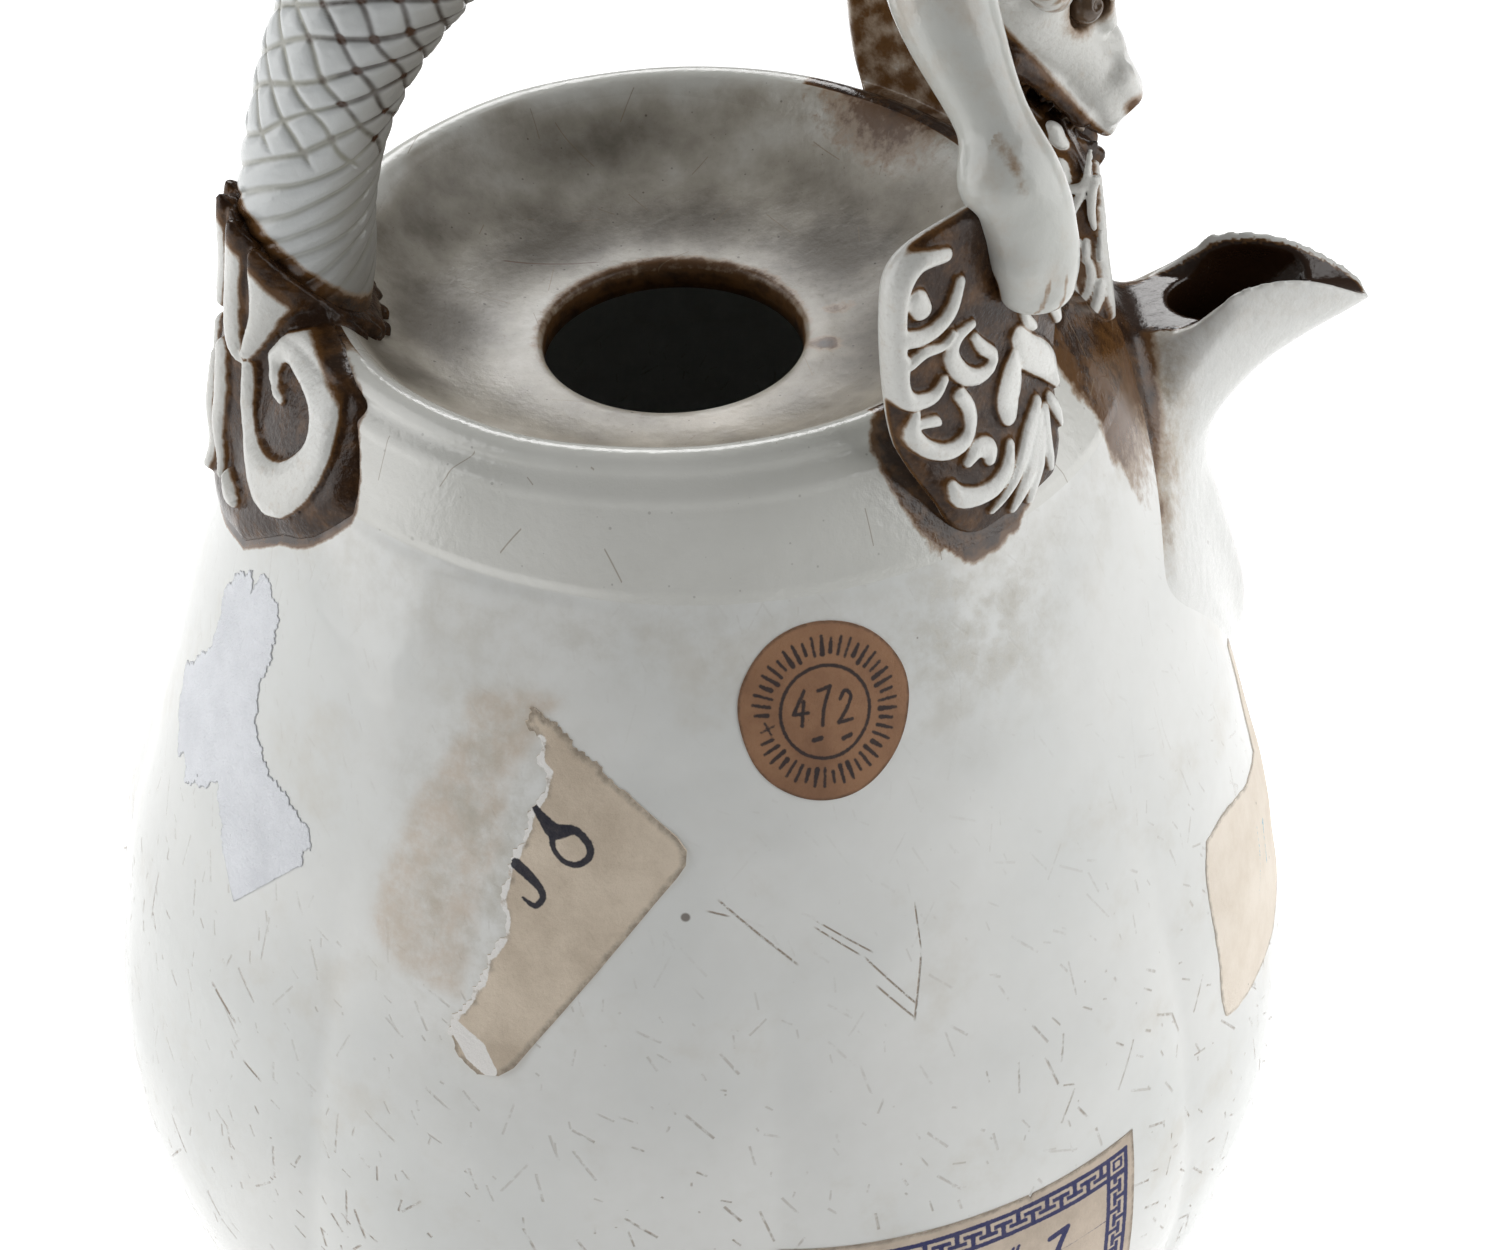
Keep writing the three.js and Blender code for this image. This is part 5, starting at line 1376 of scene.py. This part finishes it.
BEARD_SIDES = [beside(rows) for rows in (
    [(32.2, 155.2, 0.9), (32.7, 154.0, 0.9)], [(33.0, 152.0, 0.5), (33.4, 150.6, 0.5)],
    [(35.7, 153.0, 0.25), (35.5, 150.8, 0.35), (34.8, 148.8, 0.4), (34.0, 147.0, 0.3)],
    [(35.5, 150.2, 0.3), (34.9, 149.7, 0.4), (33.7, 149.6, 0.35)],
    [(36.4, 150.5, 0.4), (36.1, 149.6, 0.5), (36.1, 147.4, 0.45), (36.5, 145.6, 0.3)],
    [(35.2, 149.0, 0.25), (34.3, 147.5, 0.35), (33.9, 145.6, 0.3)],
    [(35.0, 144.2, 0.35), (34.3, 143.0, 0.3)], [(35.8, 144.2, 0.3), (35.9, 142.3, 0.3)],
    [(36.2, 142.0, 0.3), (36.5, 140.4, 0.45), (36.2, 138.7, 0.45), (35.3, 137.6, 0.4), (34.4, 137.8, 0.3)],
    [(34.6, 139.8, 0.6), (34.9, 138.4, 0.7)], [(37.1, 145.2, 0.3), (37.3, 142.3, 0.3)],
    [(37.4, 139.7, 0.5), (37.3, 138.1, 0.6), (36.7, 136.1, 0.5), (36.3, 135.7, 0.3)],
    [(36.4, 134.8, 0.4), (36.8, 133.6, 0.45), (37.5, 134.3, 0.3)],
)]

make_plate(
    "beard_plaque_skin", 0.0, BEARD_OUTLINE, BEARD_STROKES, beard_face,
    lambda z: np.interp(z, [134, 144, 150, 156], [35, 33.5, 31.4, 30.4]), "beard_plaque", height=0.9,
    sides=BEARD_SIDES, thin=9, behind_wash=1.0,
)


make_body()
make_mouth()


# Labels


def straight(corners, step):
    """Points along a closed outline of straight edges."""
    rows = []
    for a, b in zip(corners, corners[1:] + corners[:1]):
        count = max(int(math.dist(a, b) / step), 1)
        rows += [lerp(np.array(a, float), np.array(b, float), k / count) for k in range(count)]
    return np.array(rows)


def ragged(outline, torn):
    """Moves an outline in and out by the torn depth at each point."""
    p = np.asarray(outline, float)
    ahead = np.roll(p, -1, axis=0) - np.roll(p, 1, axis=0)
    normal = np.stack([ahead[:, 1], -ahead[:, 0]], 1) / np.linalg.norm(ahead, axis=1)[:, None]
    k = np.arange(len(p))
    noise = np.sin(k * 0.37) + 0.7 * np.sin(k * 0.91 + 2) + 0.6 * np.sin(k * 2.3 + 1) + 0.3 * np.sin(k * 4.1)
    return p + normal * (noise * torn(p[:, 0], p[:, 1]))[:, None]


def on_paper(u, v, strokes):
    """Depth inside the nearest stroke, negative outside."""
    return np.max([-stroke_distance(u, v, rows) for rows in strokes], axis=0)


def numeral(shape, at, size, width):
    """Strokes of a figure from lines in a unit box, a little slanted."""
    strokes = []
    for rows in shape:
        places = [(at[0] + size[0] * (x + 0.25 * y), at[1] + size[1] * y, width) for x, y in rows]
        strokes.append(curved_stroke(places, 30))
    return strokes


TWO = [[(0.1, 0.75), (0.4, 1), (0.8, 0.8), (0.6, 0.45), (0.05, 0.02)], [(0.05, 0.02), (0.95, 0.06)]]
FOUR = [[(0.7, 1), (0.05, 0.35)], [(0.05, 0.35), (1, 0.35)], [(0.7, 0.7), (0.62, 0)]]
SEVEN = [[(0.05, 0.92), (0.9, 1)], [(0.9, 1), (0.5, 0.45), (0.4, 0)]]


def make_label(name, centre, outline, step, material, ink, bare=None, lift=None, shade=1.2):
    """A sheet of paper on the wall, from an outline of across and up about its centre."""
    azimuth, middle = math.radians(centre[0]), centre[1]
    outline = np.asarray(outline, float)
    (u0, v0), (u1, v1) = outline.min(0), outline.max(0)
    u, v = (w.ravel() for w in np.meshgrid(np.arange(u0, u1, step), np.arange(v0, v1, step)))
    keep = outline_distance(u, v, outline) < -0.6 * step
    flat = np.vstack([outline, np.stack([u[keep], v[keep]], 1)])
    sheet = delaunay_2d_cdt([Vector(p) for p in flat], [], [list(range(len(outline)))], 1, 1e-6)
    flat, faces = np.array([tuple(p) for p in sheet[0]]), np.array(sheet[2])
    a, b, c = (flat[faces[:, k]] for k in range(3))
    area = (b[:, 0] - a[:, 0]) * (c[:, 1] - a[:, 1]) - (b[:, 1] - a[:, 1]) * (c[:, 0] - a[:, 0])
    faces = np.where(area[:, None] > 0, faces, faces[:, ::-1])
    edges = np.vstack([faces[:, [0, 1]], faces[:, [1, 2]], faces[:, [2, 0]]])
    count = len(flat)
    inner = set((edges[:, 1] * count + edges[:, 0]).tolist())
    border = edges[[(i * count + j) not in inner for i, j in edges.tolist()]]
    u, v = flat.T
    turn = azimuth + np.arcsin(u / outer_radius(middle + v))
    wall = body_radius(turn, middle + v)
    depth = -outline_distance(u, v, outline)
    raised = 0.1 + 0.03 * np.sin(0.6 * u + 0.3 * v) * np.sin(0.5 * v) + (lift(u, v) if lift else 0)
    top, low = (polar(wall + rise, turn, middle + v) for rise in (raised, 0 * u - 0.03))
    i, j = border.T
    points = np.vstack([top, low, top[i], top[j], low[j], low[i]])
    walls = 2 * count + np.arange(4)[None, ::-1] * len(border) + np.arange(len(border))[:, None]
    marks = {"ink": ink(u, v), "edge": smooth(depth, shade, 0), "bare": bare(u, v) if bare else 0 * u}
    tail = {"ink": -9, "edge": 0.25, "bare": 0.3}
    marks = {k: np.concatenate([m, m, np.full(4 * len(border), tail[k])]) for k, m in marks.items()}
    build(name + "_skin", points, [faces, faces[:, ::-1] + count, walls], material, (name,), marks)


def round_ink(u, v):
    """Two rings of ticks round a circle, a number and small marks."""
    depth = 0.16 - np.abs(np.hypot(u, v) - 4.05)
    for k in range(46):
        at = 8 * k - 160
        if 180 < at % 360 < 200:
            continue
        x, y = math.cos(math.radians(at)), math.sin(math.radians(at))
        long = 0.8 if k % 3 else 0.55
        a, b = 5.75 - long + 0.1 * (k % 2), 5.75 + long
        tick = [(a * x, a * y, 0.13 + 0.04 * (k % 4)), (b * x, b * y, 0.14)]
        depth = np.maximum(depth, -stroke_distance(u, v, tick))
    figures = numeral(FOUR, (-3.1, -0.9), (1.4, 3.0), 0.17) + numeral(SEVEN, (-0.9, -1.1), (1.3, 3.3), 0.17)
    figures += numeral(TWO, (1.0, -1.2), (1.4, 2.8), 0.17)
    figures += [[(-1.3, -2.3, 0.22), (-0.6, -2.2, 0.22)], [(1.4, -2.6, 0.22), (2.1, -2.4, 0.2)]]
    figures += [[(-5.9, -1.1, 0.1), (-4.7, -0.6, 0.1)], [(-5.5, -0.3, 0.1), (-5.0, -1.4, 0.1)]]
    return np.maximum(depth, on_paper(u, v, figures))


def fret_ink(u, v):
    """A border of interlocking T shapes between two lines, a figure and ruled lines."""
    thick, wide, half_u, half_v = 0.26, 2.85, 20.05, 14.0
    a, b = half_u - np.abs(u), half_v - np.abs(v)
    q, across = np.minimum(a, b), np.maximum(a, b)
    depth = np.maximum(thick - np.abs(q - thick), thick - np.abs(q - wide + thick))
    level = b < a
    period = np.where(level, 3.3, 2.8)
    p = (np.where(level, u, v) + 60 * period) % period
    for at, stem, bar in ((0, 0.9, 1.74), (0.5, 1.95, 1.11)):
        gap = np.abs((p - at * period + period / 2) % period - period / 2)
        shaft = np.minimum(0.26 - gap, 0.9 - np.abs(q - stem))
        beam = np.minimum(0.31 * period - gap, 0.24 - np.abs(q - bar))
        figure = np.minimum(np.maximum(shaft, beam), across - wide)
        depth = np.maximum(depth, figure)
    post = np.minimum(thick - np.abs(across - wide + thick), np.minimum(q, wide - q))
    knot = 0.16 - np.abs(np.maximum(np.abs(a - 1.4), np.abs(b - 1.4)) - 0.5)
    depth = np.maximum.reduce([depth, post, knot])
    black = numeral(SEVEN, (9.6, 3.6), (2.3, 5.2), 0.36) + numeral(TWO, (-4, -5.5), (3.4, 6.4), 0.36)
    black += numeral(FOUR, (1.2, -5.5), (3.6, 6.4), 0.36)
    black += [[(5.6, 8.6, 0.16), (6.0, 9.4, 0.2)], [(6.3, 8.7, 0.15), (6.6, 9.4, 0.2)]]
    black += [[(-17, y, 0.04), (17.3, y + 0.9, 0.04)] for y in (5.4, -0.4, -6.2)]
    return np.maximum(depth, on_paper(u, v, black))


TORN_EDGE = [
    (-4.7, 17.6), (-3.2, 16.9), (9.0, 7.3), (9.9, 6.1), (9.9, 4.9), (9.2, 3.7), (-4.6, -15.9),
    (-6.0, -17.0), (-8.1, -17.4), (-9.9, -16.2), (-11.3, -14.4), (-10.9, -13.2), (-9.7, -11.1),
    (-8.3, -8.8), (-7.7, -6.2), (-6.1, -3.7), (-6.2, -1.6), (-6.6, 0), (-6.3, 1.4), (-5.7, 3.6),
    (-4.9, 5.4), (-4.3, 7.8), (-3.3, 10), (-2.8, 11.9), (-3.7, 12.7), (-3.6, 14.7), (-4.8, 15.6),
]
TORN_FIBRES = [(*place, 0.2) for place in TORN_EDGE[10:26]]
TORN_CORNER = [(-10.3, -13.8, 0.6), (-8.4, -15.3, 1.1), (-6.9, -16.7, 0.6)]
TAPE_EDGE = [
    (-9.6, 9.9), (-7.2, 12.6), (-4.8, 14.4), (-4.0, 12.6), (-3.2, 14.9), (-1.6, 15.4), (1.2, 14.2),
    (2.2, 11.2), (1.9, 7.8), (1.6, 5.4), (2.3, 3.2), (4.4, 0.6), (7.6, -0.8), (10.2, -1.4), (12.9, -3.1),
    (13.6, -4.6), (12.4, -5.0), (12.9, -6.3), (5.2, -14.9), (1.9, -11.2), (-1.5, -6.0), (-5.0, -8.6),
    (-7.8, -10.0), (-9.4, -8.2), (-11.0, -9.0), (-13.6, -6.2), (-15.2, -2.6), (-11.8, 0.8), (-8.9, 4.2),
    (-9.2, 7.2),
]
SIDE_EDGE = [
    (-16.6, -9.6), (-16.9, -7.5), (-15.6, 2.6), (-14.4, 7.0), (-12.6, 9.5), (-9.6, 9.6), (-6.2, 9.0),
    (0.2, 6.6), (7.1, 5.2), (8.1, 12.1), (8.7, 17.2), (10.4, 16.7), (11.5, 8.0), (14.6, -10.9), (0, -12.1),
    (-9, -11.2), (-14.6, -10.4),
]
BORDERED_EDGE = [
    (-21, 15.3), (-5, 15.1), (7.9, 14.9), (8.1, 14.5), (8.4, 14.9), (20.9, 15.2), (21.1, 0), (21, -15),
    (-21, -15),
]
PEN_LOOP = [
    (-3.8, 8.7, 0.3), (-3.0, 7.8, 0.5), (-2.0, 6.9, 0.75), (-1.2, 7.0, 0.6), (0.0, 7.2, 0.4),
    (1.2, 6.2, 0.36), (1.4, 5.1, 0.33), (0.4, 4.2, 0.3), (-0.9, 4.3, 0.25), (-1.9, 5.3, 0.25),
    (-2.1, 6.6, 0.35),
]
PEN_HOOK = [
    (-5.3, 3.2, 0.55), (-4.1, 2.4, 0.5), (-3.0, 1.4, 0.38), (-2.7, 0.5, 0.3), (-3.4, -0.3, 0.27),
    (-4.5, 0.2, 0.16),
]
PEN = [path(PEN_LOOP, 60), path(PEN_HOOK, 40)]
SIDE_STROKES = [
    [(-0.3, 1.9, 0.1), (-1.3, -0.5, 0.13), (-4.4, -4.2, 0.08)],
    [(2.2, 0.4, 0.1), (1.6, -1.5, 0.12), (0.8, -3.8, 0.2)], [(1.6, -1.2, 0.12), (2.6, 0.2, 0.25)],
]


def round_edge(t):
    """A hand-cut disc's edge."""
    x = (7.8 + 0.07 * math.sin(3 * t + 1) + 0.05 * math.sin(7 * t)) * math.cos(t)
    return x, (7.8 + 0.06 * math.sin(4 * t)) * math.sin(t)


def torn_fibres(u, v):
    """Bare fibres along the torn edge and on the folded corner."""
    edge = (0.75 + 0.25 * np.sin(2.1 * v)) * smooth(stroke_distance(u, v, TORN_FIBRES), 0.6, 0.05)
    return np.maximum(edge, smooth(stroke_distance(u, v, TORN_CORNER), 0.3, -0.1))


round_outline = [round_edge(t) for t in np.linspace(0, 2 * math.pi, 180, endpoint=False)]
make_label("round_label", (-82.6, 121.3), round_outline, 0.14, brown_card, round_ink, shade=0.5)
make_label(
    "torn_label", (-109.8, 104),
    ragged(straight(TORN_EDGE, 0.25), lambda u, v: 0.16 * smooth(u * 0.83 - v * 0.4, 1, -3)), 0.2,
    cream_paper, lambda u, v: on_paper(u, v, PEN), torn_fibres,
    lambda u, v: 0.3 * smooth(v, -12, -17) + 0.15 * smooth(u, 7, 10),
)
make_label(
    "tape_remnant", (-155, 105),
    ragged(straight(TAPE_EDGE, 0.25), lambda u, v: 0.2 * smooth(v - 0.5 * u, -14, -11)), 0.22,
    white_paper, lambda u, v: 0 * u - 9, shade=0.15,
)
make_label(
    "side_label", (-22, 80), ragged(straight(SIDE_EDGE, 0.3), lambda u, v: 0.04 + 0 * u), 0.25,
    pale_paper, lambda u, v: on_paper(u, v, SIDE_STROKES) - 0.05, shade=0.7,
)
make_label(
    "bordered_label", (-74.2, 54), straight(BORDERED_EDGE, 0.4), 0.16,
    blue_paper, fret_ink, shade=0.8,
)


# Floor and light

floor_mesh = bpy.data.meshes.new("floor")
FLOOR_HALF = 3.0
corners = [(x * FLOOR_HALF, y * FLOOR_HALF, 0) for x, y in ((-1, -1), (1, -1), (1, 1), (-1, 1))]
floor_mesh.from_pydata(corners, [], [(0, 1, 2, 3)])
floor = bpy.data.objects.new("floor", floor_mesh)
scene.collection.objects.link(floor)
floor_paint = Paint("floor_looks")
floor_paint.colour = floor_paint.mix(floor_paint.noise(0.004, 3.0), (0.93, 0.93, 0.93), (0.88, 0.88, 0.88))
floor_mesh.materials.append(floor_paint.finish(0.9))
floor_paint.shader.inputs["Emission Color"].default_value = (1, 1, 1, 1)
floor_paint.shader.inputs["Emission Strength"].default_value = 0.55


def add_light(name, place, target, size, watts):
    data = bpy.data.lights.new(name, "AREA")
    data.shape = "RECTANGLE"
    data.size, data.size_y = size
    data.energy = watts
    light = bpy.data.objects.new(name, data)
    scene.collection.objects.link(light)
    light.location = place
    x, y, z = np.subtract(place, target)
    light.rotation_euler = (math.atan2(math.hypot(x, y), z), 0, math.atan2(x, -y))


add_light("left_softbox", (-0.62, 0.05, 0.35), (0, 0, 0.09), (0.6, 0.7), 2.8)
add_light("right_softbox", (0.6, -0.16, 0.36), (0, 0, 0.09), (0.6, 0.7), 3.0)
add_light("back_softbox", (0.0, 0.6, 0.56), (0, 0, 0.12), (0.55, 0.3), 3.2)
scene.world = bpy.data.worlds.new("studio")
scene.world.use_nodes = True
background = scene.world.node_tree.nodes["Background"]
background.inputs["Color"].default_value = (1, 1, 1, 1)
background.inputs["Strength"].default_value = 0.12
